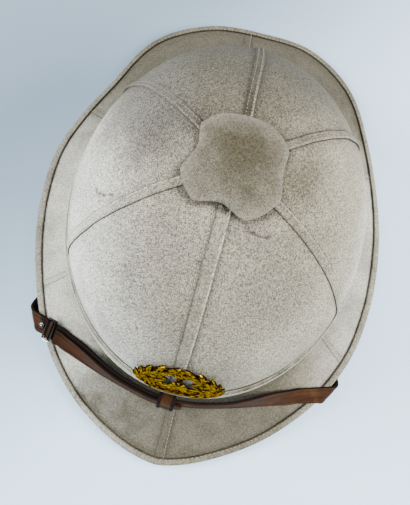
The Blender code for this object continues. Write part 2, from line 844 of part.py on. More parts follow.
def make_keepers(collection, stations, edge_distance):
    front = strap_axes(stations, FRONT_KEEPER_PLACE)
    make_loop(collection, "front_keeper", front, FRONT_KEEPER_LENGTH, -TAIL_DROP, STRAP_WIDTH,
              STRAP_WALL + GAP + TAIL_WALL)
    side_place = edge_distance + SIDE_KEEPER_FROM_EDGE
    side = strap_axes(stations, side_place)
    make_loop(collection, "side_keeper", side, SIDE_KEEPER_LENGTH, 0.0, STRAP_WIDTH, STRAP_WALL)
    return side


def make_buckle(collection, axes):
    """A wire frame lying on the strap, round the side keeper."""
    low, along, across, face = axes
    curve = bpy.data.curves.new("strap_buckle", "CURVE")
    curve.dimensions = "3D"
    curve.bevel_depth = BUCKLE_WIRE / 2
    curve.bevel_resolution = 1
    half_long = STRAP_WIDTH / 2 + LOOSE + KEEPER_WALL + LOOSE + BUCKLE_WIRE / 2
    half_short = SIDE_KEEPER_LENGTH / 2 + LOOSE + BUCKLE_WIRE / 2
    corner = BUCKLE_WIRE
    centre = low + across * STRAP_WIDTH / 2 + face * (STRAP_WALL + GAP + BUCKLE_WIRE / 2)
    points = []
    for sign_x, sign_y, start in ((1, 1, 0), (-1, 1, 90), (-1, -1, 180), (1, -1, 270)):
        for step in range(3):
            angle = math.radians(start + 45 * step)
            x = sign_x * (half_long - corner) + corner * math.cos(angle)
            y = sign_y * (half_short - corner) + corner * math.sin(angle)
            points.append(centre + across * x + along * y)
    spline = curve.splines.new("POLY")
    spline.points.add(len(points) - 1)
    for slot, point in zip(spline.points, points):
        slot.co = (*point, 1.0)
    spline.use_cyclic_u = True
    obj = bpy.data.objects.new("strap_buckle", curve)
    curve.materials.append(make_material("strap buckle", "nickel"))
    collection.objects.link(obj)
    return obj


def make_stud(collection, stations, edge_distance):
    low, along, across, face = strap_axes(stations, edge_distance + STUD_FROM_EDGE)
    height = STUD_HEIGHT
    profile = [(0.0, height), (0.5 * STUD_RADIUS, 0.93 * height), (0.85 * STUD_RADIUS, 0.68 * height),
               (STUD_RADIUS, 0.3 * height), (STUD_RADIUS, 0.0), (0.0, 0.0)]
    mesh = bpy.data.meshes.new("strap_stud")
    mesh.from_pydata([(radius, 0.0, rise) for radius, rise in profile],
                     [(k, k + 1) for k in range(len(profile) - 1)], [])
    stud = add_object("strap_stud", mesh, collection, "nickel")
    spot = low + across * STRAP_WIDTH / 2 + face * (STRAP_WALL + 1.3 * GAP)
    stud.matrix_world = Matrix.Translation(spot) @ Matrix((along, across, along.cross(across))).transposed().to_4x4()
    screw = stud.modifiers.new("turned", "SCREW")
    screw.steps = 14
    screw.render_steps = 14
    screw.use_merge_vertices = True
    screw.merge_threshold = 0.00002
    return stud


# Badge

def add_leaf(shape, centre, direction, rise):
    """A pointed leaf with a raised rib: an eight-faced solid drawn out along its direction."""
    turn = Matrix.Rotation(direction, 4, "Z")
    scale = Matrix.Diagonal((LEAF_LENGTH / 2, LEAF_WIDTH / 2, LEAF_THICKNESS / 2, 1.0))
    matrix = Matrix.Translation((centre[0], centre[1], rise)) @ turn @ scale
    bmesh.ops.create_uvsphere(shape, u_segments=4, v_segments=2, radius=1.0, matrix=matrix)


def add_plate(shape, centre, size, cuts):
    """A flat block, cut across its length so that it can be bent."""
    matrix = Matrix.Translation(centre) @ Matrix.Diagonal((*size, 1.0))
    made = bmesh.ops.create_cube(shape, size=1.0, matrix=matrix)
    long_axis = 0 if size[0] > size[1] else 1
    edges = {edge for vert in made["verts"] for edge in vert.link_edges
             if abs(edge.verts[0].co[long_axis] - edge.verts[1].co[long_axis]) > size[long_axis] / 2}
    bmesh.ops.subdivide_edges(shape, edges=list(edges), cuts=cuts)


def wreath_point(angle, out):
    """A point on the wreath's oval, angle from its foot, and a distance out from it."""
    half_x = BADGE_WIDTH / 2 - LEAF_LENGTH * 0.42 + out
    half_y = BADGE_HEIGHT / 2 - LEAF_LENGTH * 0.42 + out
    sag = 0.10 * BADGE_HEIGHT * math.sin(angle) ** 2
    return half_x * math.sin(angle), BADGE_HEIGHT / 2 - half_y * math.cos(angle) - sag


def badge_ring():
    rows = []
    count = 30
    for step in range(count):
        angle = 2 * math.pi * step / count
        inner, outer = wreath_point(angle, -BADGE_RING / 2), wreath_point(angle, BADGE_RING / 2)
        rows.append([Vector((*inner, 0.0)), Vector((*outer, 0.0)),
                     Vector((*outer, BADGE_WALL)), Vector((*inner, BADGE_WALL))])
    return grid_mesh("badge_ring", rows, closed_rows=True, closed_columns=True)


def badge_details():
    """Leaves, the bare scroll at the foot, the upright bar and its round boss."""
    shape = bmesh.new()
    rise = LEAF_THICKNESS / 2 + 0.0001
    for side in (-1, 1):
        for leaf in range(LEAVES_PER_SIDE):
            angle = side * math.radians(24.0 + 146.0 * leaf / (LEAVES_PER_SIDE - 1))
            ahead = wreath_point(angle + side * 0.05, 0.0)
            here = wreath_point(angle, 0.0)
            heading = math.atan2(ahead[1] - here[1], ahead[0] - here[0])
            for lean, out in ((0.5, BADGE_RING * 0.45), (-0.5, -BADGE_RING * 0.35)):
                spot = wreath_point(angle, out)
                add_leaf(shape, spot, heading - side * lean, rise + (0.0002 if lean > 0 else 0.0))
    bar_size = (BADGE_RING * 0.8, BADGE_HEIGHT - LEAF_LENGTH * 0.9, BADGE_WALL * 0.9)
    add_plate(shape, (0, BADGE_HEIGHT / 2, BADGE_WALL * 0.52), bar_size, 9)
    scroll_size = (SCROLL_LENGTH, SCROLL_HEIGHT, SCROLL_WALL)
    add_plate(shape, (0, SCROLL_HEIGHT * 0.62, BADGE_WALL + SCROLL_WALL * 0.4), scroll_size, 7)
    boss = Matrix.Translation((0, BADGE_HEIGHT * 0.55, BADGE_WALL * 0.95))
    bmesh.ops.create_cone(shape, cap_ends=True, segments=12, radius1=BADGE_RING * 1.45,
                          radius2=BADGE_RING * 0.9, depth=BADGE_WALL * 1.7, matrix=boss)
    mesh = bpy.data.meshes.new("badge_details")
    shape.to_mesh(mesh)
    shape.free()
    return mesh


def make_badge(collection, cutters):
    ring = add_object("badge", badge_ring(), collection, "gilt brass")
    details = add_object("badge_details", badge_details(), cutters, "gilt brass")
    details.hide_render = True
    details.display_type = "WIRE"
    union = ring.modifiers.new("union", "BOOLEAN")
    union.operation = "UNION"
    union.object = details
    union.use_self = True
    bpy.context.view_layer.update()
    mesh = bpy.data.meshes.new_from_object(ring.evaluated_get(bpy.context.evaluated_depsgraph_get()))
    ring.modifiers.clear()
    for vert in mesh.vertices:
        across, up, out = vert.co
        height = band_top() + BADGE_LIFT + up
        radius = crown_radius(0.0) * crown_share(height)
        lower = crown_radius(0.0) * crown_share(height - 0.001)
        slope = math.atan2(lower - radius, 0.001)
        turn = across / radius
        reach = crown_radius(turn) * crown_share(height) + SEAM_WALL + 3 * GAP + out * math.cos(slope)
        vert.co = place(turn, reach, height + out * math.sin(slope))
    ring.data = mesh
    bpy.data.objects.remove(details, do_unlink=True)
    return ring


def build():
    clear_scene()
    collection = make_collection("pith_helmet")
    cutters = make_collection("cutters")
    make_crown(collection)
    ring_from_sections("brim", brim_section, collection, "cover cloth")
    ring_from_sections("edge_tape", tape_section, collection, "edge tape")
    ring_from_sections("hat_band", band_section, collection, "band cloth")
    make_seams(collection)
    make_vent_cap(collection)
    make_vent_post(collection)
    stations, right_edge = strap_stations()
    make_strap(collection, stations)
    make_strap_tail(collection, stations, right_edge)
    side_axes = make_keepers(collection, stations, right_edge)
    make_buckle(collection, side_axes)
    make_stud(collection, stations, right_edge)
    make_badge(collection, cutters)


build()
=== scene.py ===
import math
from collections import namedtuple

import bmesh
import bpy
from mathutils import Matrix, Vector, noise


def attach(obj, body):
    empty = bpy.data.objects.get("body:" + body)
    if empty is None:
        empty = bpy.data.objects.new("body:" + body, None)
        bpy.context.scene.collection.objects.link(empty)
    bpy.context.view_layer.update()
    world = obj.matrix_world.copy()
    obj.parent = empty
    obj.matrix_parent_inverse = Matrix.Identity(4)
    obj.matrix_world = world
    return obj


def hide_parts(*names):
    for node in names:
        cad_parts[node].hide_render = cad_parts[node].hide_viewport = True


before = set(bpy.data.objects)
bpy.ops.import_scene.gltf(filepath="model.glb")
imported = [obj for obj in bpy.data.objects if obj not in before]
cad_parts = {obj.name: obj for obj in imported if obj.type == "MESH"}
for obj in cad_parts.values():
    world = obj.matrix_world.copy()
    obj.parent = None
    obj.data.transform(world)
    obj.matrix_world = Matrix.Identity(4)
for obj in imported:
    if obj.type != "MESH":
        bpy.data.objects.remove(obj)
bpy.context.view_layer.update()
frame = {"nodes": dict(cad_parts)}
print("frame loaded")

gap = 0.0003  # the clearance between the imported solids, in metres like every size here

brimSizes = {
    "width": 0.2456,
    "peakReach": 0.164,
    "backReach": 0.171,
    "wall": 0.0035,
    "flare": 0.0025,
    "sideRise": 0.0143,
    "frontRest": 15.0,   # degrees either side of the front that rest on the floor
    "backRest": 35.0,
    "joinHeight": 0.036,
    "ripple": 0.00035,
    "columns": 300,
    "rows": 26,
}

crownSizes = {
    "offset": 0.0016,
    "width": 0.185,
    "length": 0.2212,
    "top": 0.150,
    "wall": 0.005,
    "fullness": 2.29,
    "bulge": 0.029,
    "ventHole": 0.0063,
    "dent": 0.0008,
    "pucker": 0.00028,
    "puckerReach": 0.006,
    "puckerWaves": 620.0,
    "lastClimb": 87.0,   # degrees up its side where the face ends, at the vent hole
    "columns": 300,
    "rows": 84,
    "innerRows": 24,
}

tapeSizes = {"wall": 0.0009, "leg": 0.0048, "tug": 0.00025, "columns": 360, "noseSteps": 9}

seamSizes = {
    "wall": 0.0009,
    "wander": 0.0003,
    "lastClimb": 81.0,    # degrees up the crown's side where a seam ends, under the cap
    "brimRadius": 0.13,   # turns the width of a brim seam into a bearing
    "columns": 9,
    "rows": 90,
}

# The brim's reach as a share of an ellipse, every 15 degrees from the front,
# on the wearer's right (-X) and left (+X).
outline = {
    "right": [1.000, 0.977, 0.972, 0.971, 0.966, 0.976, 0.993, 1.009, 0.998, 0.996, 1.041, 1.024, 1.000],
    "left": [1.000, 0.973, 0.982, 1.006, 1.022, 1.011, 0.999, 0.996, 1.000, 1.020, 1.055, 1.040, 1.000],
    "step": 15.0,
}

seams = [
    {"name": "front", "crown": -0.8, "crownWidth": 0.0078, "brim": 0.5, "brimWidth": 0.0055, "raised": 1},
    {"name": "front_left", "crown": 62.0, "crownWidth": 0.0054, "brim": 58.0, "brimWidth": 0.0042, "raised": 1},
    {"name": "back_left", "crown": 129.0, "crownWidth": 0.0054, "brim": 125.0, "brimWidth": 0.0042, "raised": -1},
    {"name": "back", "crown": 180.0, "crownWidth": 0.0054, "brim": 183.0, "brimWidth": 0.0042, "raised": -1},
    {"name": "back_right", "crown": 231.0, "crownWidth": 0.0054, "brim": 237.0, "brimWidth": 0.0042, "raised": 1},
    {"name": "front_right", "crown": 298.0, "crownWidth": 0.0054, "brim": 302.0, "brimWidth": 0.0042, "raised": -1},
]

# Shared outlines

crownCentre = Vector((crownSizes["offset"], (brimSizes["peakReach"] - brimSizes["backReach"]) / 2, 0.0))
upwards = Vector((0.0, 0.0, 1.0))


def placeAt(turn, radius, height):
    return Vector((crownCentre.x + radius * math.sin(turn), crownCentre.y - radius * math.cos(turn), height))


def turnAt(index, count):
    return 2 * math.pi * index / count


def outwardAt(turn):
    return Vector((math.sin(turn), -math.cos(turn), 0.0))


def unevenness(turn, waves, layer):
    # smooth noise round the hat, between -1 and 1
    return noise.noise(Vector((math.sin(turn) * waves, math.cos(turn) * waves, layer)))


def bearingOf(point):
    return math.atan2(point.x - crownCentre.x, crownCentre.y - point.y)


def radiusOf(point):
    return math.hypot(point.x - crownCentre.x, point.y - crownCentre.y)


def ellipseReach(turn, halfX, halfY):
    return 1.0 / math.hypot(math.sin(turn) / halfX, math.cos(turn) / halfY)


def crownRadius(turn):
    return ellipseReach(turn, crownSizes["width"] / 2, crownSizes["length"] / 2)


def smoothStep(value):
    value = min(max(value, 0.0), 1.0)
    return value * value * (3 - 2 * value)


def smoothRow(values, spot):
    index = min(int(spot), len(values) - 2)
    part = spot - index
    before = values[index - 1] if index > 0 else 2 * values[0] - values[1]
    after = values[index + 2] if index + 2 < len(values) else values[index]
    a, b = values[index], values[index + 1]
    slopeA, slopeB = (b - before) / 2, (after - a) / 2
    return ((2 * part ** 3 - 3 * part ** 2 + 1) * a + (part ** 3 - 2 * part ** 2 + part) * slopeA
            + (3 * part ** 2 - 2 * part ** 3) * b + (part ** 3 - part ** 2) * slopeB)


def rawReach(turn):
    turn = math.remainder(turn, 2 * math.pi)
    side = "left" if turn >= 0 else "right"
    halfWidth = brimSizes["width"] / 2 - crownSizes["offset"] * (1 if turn >= 0 else -1)
    reach = brimSizes["peakReach"] if math.cos(turn) > 0 else brimSizes["backReach"]
    share = smoothRow(outline[side], abs(math.degrees(turn)) / outline["step"])
    return share * ellipseReach(turn, halfWidth, reach)


def sideStretch(sign):
    widest = max(rawReach(sign * math.radians(step / 2)) * math.sin(math.radians(step / 2))
                 for step in range(1, 360))
    return (brimSizes["width"] / 2 - sign * crownSizes["offset"]) / widest


stretches = {1: sideStretch(1), -1: sideStretch(-1)}


def edgeRadius(turn):
    turn = math.remainder(turn, 2 * math.pi)
    return rawReach(turn) * math.hypot(stretches[1 if turn >= 0 else -1] * math.sin(turn), math.cos(turn))


def brimInner(turn):
    return crownRadius(turn) + gap


def brimOuter(turn):
    return edgeRadius(turn) - gap - tapeSizes["wall"]


def footHeight(turn):
    degrees = abs(math.degrees(math.remainder(turn, 2 * math.pi)))
    rise = (degrees - brimSizes["frontRest"]) / (180.0 - brimSizes["frontRest"] - brimSizes["backRest"])
    return brimSizes["sideRise"] * math.sin(math.pi * min(max(rise, 0.0), 1.0)) ** 2


def slopeAt(turn, share, height):
    run = brimOuter(turn) - brimInner(turn)
    return (height - brimSizes["joinHeight"] - 4 * brimSizes["flare"] * (1 - 2 * share)) / run


def cornerDrop(turn, height):
    slope = math.atan(slopeAt(turn, 1.0, height))
    wall = tapeSizes["wall"]
    return (brimSizes["wall"] + gap + wall) * math.cos(slope) - (gap + 0.6 * wall) * math.sin(slope)


edgeHeights = {}


def edgeHeight(turn):
    key = round(math.remainder(turn, 2 * math.pi), 7)
    if key not in edgeHeights:
        height = 0.0
        for _ in range(5):
            height = footHeight(turn) + cornerDrop(turn, height)
        edgeHeights[key] = height
    return edgeHeights[key]


def brimHeight(turn, radius):
    inner, outer = brimInner(turn), brimOuter(turn)
    share = (radius - inner) / (outer - inner)
    sag = 4 * brimSizes["flare"] * share * (1 - share) if 0 < share < 1 else 0.0
    return brimSizes["joinHeight"] + (edgeHeight(turn) - brimSizes["joinHeight"]) * share - sag


def brimOffset(turn, radius, distance):
    inner, outer = brimInner(turn), brimOuter(turn)
    share = min(max((radius - inner) / (outer - inner), 0.0), 1.0)
    slope = math.atan(slopeAt(turn, share, edgeHeight(turn)))
    return radius - distance * math.sin(slope), brimHeight(turn, radius) + distance * math.cos(slope)


def crownShare(height):
    # the crown's radius at a height, as a share of its radius at the brim
    rise = (height - brimSizes["joinHeight"]) / (crownSizes["top"] - brimSizes["joinHeight"])
    rise = min(max(rise, 0.0), 1.0)
    fullness = crownSizes["fullness"]
    swell = 1 + crownSizes["bulge"] * math.sin(math.pi * min(1.6 * rise, 1.0))
    return (1 - rise ** fullness) ** (1 / fullness) * swell


def climbHeight(climb):
    rise = max(math.sin(climb), 0.0) ** (2 / crownSizes["fullness"])
    return brimSizes["joinHeight"] + (crownSizes["top"] - brimSizes["joinHeight"]) * rise


def crownSpot(turn, climb):
    # a point of the crown's face, with the slow unevenness of cloth glued over cork
    height = climbHeight(climb)
    radius = crownRadius(turn) * crownShare(height)
    quiet = smoothStep(climb / 0.5) * smoothStep((1.35 - climb) / 0.3)
    dent = crownSizes["dent"] * unevenness(turn, 2.1, climb * 2.6 + 7.0) * quiet
    return placeAt(turn, radius, height) + outwardAt(turn) * dent


def crownNormal(turn, climb):
    step = 0.004
    across = crownSpot(turn + step, climb) - crownSpot(turn - step, climb)
    along = crownSpot(turn, climb + step) - crownSpot(turn, climb - step)
    return across.cross(along).normalized()


def seamDistance(turn, radius, key):
    # how far a bearing is from the nearest seam, in metres round the hat
    return min(abs(math.remainder(turn - math.radians(seam[key]), 2 * math.pi)) * radius for seam in seams)


print("outlines ready")


# Mesh helpers

def addObject(name, data, material=None):
    piece = bpy.data.objects.new(name, data)
    bpy.context.scene.collection.objects.link(piece)
    if material:
        data.materials.append(material)
    return piece


def storeOnPoints(mesh, name, values, kind="FLOAT", field="value"):
    attribute = mesh.attributes.new(name, kind, "POINT")
    for item, value in zip(attribute.data, values):
        setattr(item, field, value)


def smoothShade(mesh, degrees):
    # smooth but for the edges that turn by more than this
    mesh.shade_smooth()
    mesh.set_sharp_from_angle(angle=math.radians(degrees))


def gridCorners(count, loop, closed, caps):
    # the faces between columns of points, each face a list of (column, point)
    faces = [[(i, j), (i, j + 1), (i + 1, j + 1), (i + 1, j)]
             for i in range(count if closed else count - 1) for j in range(loop)]
    if caps:
        faces.append([(0, j) for j in reversed(range(loop))])
        faces.append([(count - 1, j) for j in range(loop)])
    return faces


def makePiece(name, columns, closed, material, smoothDegrees, uv=None, wearAndShade=None, caps=False):
    # columns of points round or along a piece; each column is a closed loop, and faces look
    # along (next point) x (next column). uv and the wear value are given for (column, point); the wear value
    # holds wear and dirt, and painted shade where a piece has it.
    mesh = bpy.data.meshes.new(name)
    count, loop = len(columns), len(columns[0])
    points = [point for column in columns for point in column]
    faces = gridCorners(count, loop, closed, caps)
    mesh.from_pydata(points, [], [[i % count * loop + j % loop for i, j in face] for face in faces])
    if uv:
        layer = mesh.uv_layers.new(name="cloth")
        for item, value in zip(layer.data, (uv(i, j, face[0][0]) for face in faces for i, j in face)):
            item.uv = value
    if wearAndShade:
        storeOnPoints(mesh, "wearAndShade", (wearAndShade(i, j) for i in range(count) for j in range(loop)))
    piece = addObject(name, mesh, material)
    mesh.validate()
    smoothShade(mesh, smoothDegrees)
    return piece


def settle(piece, *nodes, slot=None):
    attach(piece, "root")
    if nodes:
        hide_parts(*nodes)
    return piece


def bakedCopy(piece, name):
    # the evaluated shape as a plain mesh, at the origin
    bpy.context.view_layer.update()
    graph = bpy.context.evaluated_depsgraph_get()
    mesh = bpy.data.meshes.new_from_object(piece.evaluated_get(graph))
    mesh.transform(piece.matrix_world)
    mesh.name = name
    result = addObject(name, mesh)
    bpy.data.objects.remove(piece, do_unlink=True)
    return result


def weld(piece):
    # merges points that meet, and drops the edges that this leaves without a face
    shape = bmesh.new()
    shape.from_mesh(piece.data)
    bmesh.ops.remove_doubles(shape, verts=shape.verts, dist=0.000002)
    lone = [edge for edge in shape.edges if not edge.link_faces]
    bmesh.ops.delete(shape, geom=lone, context="EDGES")
    shape.to_mesh(piece.data)
    shape.free()


def turnFacesOut(piece):
    shape = bmesh.new()
    shape.from_mesh(piece.data)
    bmesh.ops.recalc_face_normals(shape, faces=shape.faces)
    shape.to_mesh(piece.data)
    shape.free()


def runningLengths(points):
    # how far each point is along the line from the first
    lengths = [0.0]
    for first, second in zip(points, points[1:]):
        lengths.append(lengths[-1] + (second - first).length)
    return lengths


# Materials: socket maths as Python expressions

class Wire:
    # a node's output, which takes part in sums as a number does
    def __init__(self, bench, socket):
        self.bench = bench
        self.socket = socket

    def math(self, operation, *values):
        return self.bench.node("ShaderNodeMath", {"operation": operation}, values)

    def __add__(self, other):
        return self.math("ADD", self, other)

    def __radd__(self, other):
        return self.math("ADD", other, self)

    def __sub__(self, other):
        return self.math("SUBTRACT", self, other)

    def __rsub__(self, other):
        return self.math("SUBTRACT", other, self)

    def __mul__(self, other):
        return self.math("MULTIPLY", self, other)

    def __rmul__(self, other):
        return self.math("MULTIPLY", other, self)

    def sine(self):
        return self.math("SINE", self)

    def ramp(self, low, high, fromValue=0.0, toValue=1.0):
        return self.bench.node("ShaderNodeMapRange", {"interpolation_type": "SMOOTHSTEP"}, {
            "Value": self, "From Min": low, "From Max": high, "To Min": fromValue, "To Max": toValue})


class Bench:
    # one material's node tree
    def __init__(self, name):
        self.material = bpy.data.materials.new(name)
        self.material.use_nodes = True
        self.tree = self.material.node_tree
        self.shader = self.tree.nodes["Principled BSDF"]

    def fill(self, socket, value):
        if isinstance(value, Wire):
            self.tree.links.new(value.socket, socket)
        elif isinstance(value, (tuple, list)) and socket.type == "RGBA" and len(value) == 3:
            socket.default_value = (*value, 1.0)
        else:
            socket.default_value = value

    def node(self, kind, settings=None, sockets=None, output=0):
        made = self.tree.nodes.new(kind)
        for name, value in (settings or {}).items():
            setattr(made, name, value)
        pairs = sockets.items() if isinstance(sockets, dict) else enumerate(sockets or [])
        for name, value in pairs:
            self.fill(made.inputs[name], value)
        return Wire(self, made.outputs[output])

    def place(self):
        return self.node("ShaderNodeTexCoord", output="Object")

    def clothMap(self):
        return self.node("ShaderNodeUVMap", {"uv_map": "cloth"})

    def value(self, name):
        return self.node("ShaderNodeAttribute", {"attribute_name": name}, output="Fac")

    def cloudy(self, where, scale, detail=3.0, roughness=0.55):
        return self.node("ShaderNodeTexNoise", None, {
            "Vector": where, "Scale": scale, "Detail": detail, "Roughness": roughness})

    def cells(self, where, scale):
        return self.node("ShaderNodeTexVoronoi", None, {"Vector": where, "Scale": scale})

    def split(self, vector, axis):
        return self.node("ShaderNodeSeparateXYZ", None, [vector], output=axis)

    def join(self, x, y, z=0.0):
        return self.node("ShaderNodeCombineXYZ", None, [x, y, z])

    def stretched(self, where, scales):
        return self.node("ShaderNodeVectorMath", {"operation": "MULTIPLY"}, [where, scales])

    def blend(self, share, first, second):
        return self.node("ShaderNodeMix", {"data_type": "RGBA"},
                         {"Factor": share, 6: first, 7: second}, output=2)

    def shaded(self, colour, strength):
        # a colour darkened or lightened by a number
        grey = self.join(strength, strength, strength)
        return self.node("ShaderNodeMix", {"data_type": "RGBA", "blend_type": "MULTIPLY"},
                         {"Factor": 1.0, 6: colour, 7: grey}, output=2)

    def distanceFrom(self, where, place, size, turn=0.0):
        # 0 at a place and 1 at the rim of an oval of this half size
        near = self.node("ShaderNodeMapping", {"vector_type": "TEXTURE"}, {
            "Vector": where, "Location": place, "Rotation": (0.0, 0.0, math.radians(turn)), "Scale": size})
        return self.node("ShaderNodeVectorMath", {"operation": "LENGTH"}, [near], output="Value")

    def mark(self, where, place, size, turn):
        # 1 inside a small oval mark on the surface, 0 outside, with a ragged rim
        ragged = (self.cloudy(where, 520.0) - 0.5) * 1.6
        return (self.distanceFrom(where, place, size, turn) + ragged).ramp(1.25, 0.15)

    def softCloud(self, where, place, size):
        # a soft cloud, strongest in its middle
        cloud = self.cloudy(where, 130.0, detail=5.0, roughness=0.6)
        near = (self.distanceFrom(where, place, size) + (cloud - 0.5) * 1.5).ramp(1.35, 0.1)
        return near * (0.55 + cloud * 0.9)

    def relief(self, height, strength, distance):
        return self.node("ShaderNodeBump", None,
                         {"Height": height, "Strength": strength, "Distance": distance})

    def finish(self, **surface):
        names = {"colour": "Base Color", "roughness": "Roughness", "metallic": "Metallic", "normal": "Normal",
                 "sheen": "Sheen Weight", "sheenRoughness": "Sheen Roughness",
                 "specular": "Specular IOR Level", "edgeTint": "Specular Tint"}
        for name, value in surface.items():
            self.fill(self.shader.inputs[names[name]], value)
        return self.material


# Cloth. Marks are places on the helmet in metres, with half sizes and a turn in degrees.

clothFinish = {
    "weavePitch": 0.00125,
    "threadDepth": 0.0006,
    "roughness": 0.92,
    "sheen": 0.02,
    "sheenRoughness": 0.5,
    "specular": 0.10,
    "fleckTone": (0.070, 0.055, 0.040),
    "markTone": (0.050, 0.041, 0.034),
}

clothColours = {
    "crown": {"clean": (0.285, 0.262, 0.198), "worn": (0.096, 0.086, 0.062), "paintedLight": (0.740, 0.728, 0.660),
              "rubbed": (0.700, 0.665, 0.550), "texture": 0.95},
    "brim": {"clean": (0.250, 0.231, 0.170), "worn": (0.078, 0.071, 0.050), "paintedLight": (0.480, 0.470, 0.408),
             "rubbed": (0.560, 0.530, 0.430), "texture": 0.55},
    "band": {"clean": (0.560, 0.522, 0.395), "worn": (0.024, 0.019, 0.011), "paintedLight": (0.760, 0.738, 0.610),
             "rubbed": (0.800, 0.770, 0.650), "texture": 0.45},
    "cap": {"clean": (0.158, 0.143, 0.106), "worn": (0.070, 0.061, 0.042), "paintedLight": (0.285, 0.264, 0.213),
            "rubbed": (0.520, 0.490, 0.400), "texture": 0.60},
    "tape": {"clean": (0.185, 0.168, 0.119), "worn": (0.028, 0.022, 0.014), "paintedLight": (0.320, 0.303, 0.236),
             "rubbed": (0.420, 0.395, 0.310), "texture": 0.60},
    "seam": {"clean": (0.278, 0.255, 0.193), "worn": (0.044, 0.037, 0.025), "paintedLight": (0.690, 0.677, 0.612),
             "rubbed": (0.760, 0.725, 0.600), "texture": 0.90},
}


def clothMaterial(name, part, marks=(), softClouds=(), weaveDepth=0.5):
    colours = clothColours[part]
    bench = Bench(name)
    where, cloth = bench.place(), bench.clothMap()
    across, along = bench.split(cloth, 0), bench.split(cloth, 1)

    # threads: two crossed rows that wander a little, thicker in places, with a fine grain
    turns = 2 * math.pi / clothFinish["weavePitch"]
    warp = (across * turns + bench.cloudy(cloth, 500.0) * 2.4).sine() * 0.5 + 0.5
    weft = (along * turns + bench.cloudy(cloth, 450.0) * 2.4).sine() * 0.5 + 0.5
    weave = warp * weft + (1 - warp) * (1 - weft)
    slubs = (bench.cloudy(bench.stretched(cloth, (1700.0, 420.0, 1.0)), 1.0).ramp(0.34, 0.66)
             + bench.cloudy(bench.stretched(cloth, (420.0, 1700.0, 1.0)), 1.0).ramp(0.34, 0.66)) * 0.5
    grain = bench.cloudy(where, 1250.0, detail=1.0, roughness=0.6).ramp(0.38, 0.62)
    threads = (weave * 0.28 + slubs * 0.44 + grain * 0.28).ramp(0.16, 0.84, -0.74, 0.76)

    patches = bench.cloudy(where, 17.0, detail=4.0).ramp(0.34, 0.70)
    blotches = bench.cloudy(where, 60.0, detail=5.0, roughness=0.65).ramp(0.42, 0.72)
    # painted light: the cloth is lightened towards a pale tone on the -X side, where the left lamp falls on it
    paintedLeftLight = (bench.split(where, 0) + bench.split(where, 1) * 0.35).ramp(-0.035, -0.105)
    soilAndShade = bench.value("wearAndShade")

    # painted light: the cloth is lightened towards a pale tone at the far +X side, where the right lamp falls on it
    paintedRightLight = bench.split(where, 0).ramp(0.074, 0.112)
    colour = bench.blend(paintedLeftLight * 0.90, colours["clean"], colours["paintedLight"])
    colour = bench.blend(paintedRightLight * 0.95, colour, colours["paintedLight"])
    colour = bench.blend(patches * 0.42 + blotches * 0.22, colour, colours["worn"])
    # darker where the wear value is high: dirt, and painted shade and shadow in creases, under the cap's rim,
    # against the band and on the sides away from the lamps
    colour = bench.blend((soilAndShade * (0.85 + blotches * 0.3)).ramp(0.0, 1.0), colour, colours["worn"])
    for place, size, strength, tone in softClouds:
        colour = bench.blend(bench.softCloud(where, place, size) * strength, colour, tone)
    # paler where the wear value falls below zero: the seams' ridges, rubbed and with a painted highlight, and the
    # cap's rim
    colour = bench.blend(soilAndShade.ramp(0.0, -1.0), colour, colours["rubbed"])
    flecks = bench.cells(where, 190.0).ramp(0.055, 0.0) * bench.cloudy(where, 41.0).ramp(0.56, 0.7)
    colour = bench.blend(flecks * 0.6, colour, clothFinish["fleckTone"])
    for place, size, turn, strength in marks:
        colour = bench.blend(bench.mark(where, place, size, turn) * strength, colour, clothFinish["markTone"])
    colour = bench.shaded(colour, 1 + threads * colours["texture"])

    height = weave * 0.5 + slubs * 0.8 + grain * 0.6
    normal = bench.relief(height, weaveDepth, clothFinish["threadDepth"])
    return bench.finish(colour=colour, roughness=clothFinish["roughness"] - soilAndShade * 0.08, normal=normal,
                        sheen=clothFinish["sheen"], sheenRoughness=clothFinish["sheenRoughness"],
                        specular=clothFinish["specular"])


threadFinish = {"tone": (0.36, 0.335, 0.27), "shade": 0.72, "roughness": 0.85, "specular": 0.3}

leatherFinish = {
    "deep": (0.022, 0.0070, 0.0014),
    "light": (0.051, 0.0185, 0.0034),
    "rubbed": (0.092, 0.0390, 0.0100),
    "edge": (0.0045, 0.0022, 0.0015),
    "roughness": 0.46,
    "specular": 0.08,
    "keeperShade": 0.35,   # the side keeper's leather is darker by this share
}

giltFinish = {
    "bright": (0.390, 0.222, 0.014),
    "tarnished": (0.012, 0.0058, 0.0006),
    "edgeTint": (0.42, 0.24, 0.02),
    "roughness": 0.22,
}

metalFinish = {
    "nickel": {"bright": (0.80, 0.77, 0.70), "dull": (0.42, 0.38, 0.32)},
    "zinc": {"bright": (0.50, 0.51, 0.52), "dull": (0.30, 0.30, 0.30)},
    "tarnish": (0.015, 0.012, 0.010),
    "roughness": 0.2,
}

floorFinish = {"near": (0.600, 0.800, 0.985), "far": (0.195, 0.262, 0.330), "roughness": 0.9, "specular": 0.2}


def threadMaterial(name):
    bench = Bench(name)
    where = bench.place()
    tone = threadFinish["tone"]
    tint = bench.blend(bench.cloudy(where, 160.0), tone, tuple(threadFinish["shade"] * part for part in tone))
    twist = bench.node("ShaderNodeTexWave", {"bands_direction": "DIAGONAL"}, {"Vector": where, "Scale": 900.0})
    return bench.finish(colour=tint, roughness=threadFinish["roughness"],
                        normal=bench.relief(twist, 0.3, 0.0002), specular=threadFinish["specular"])


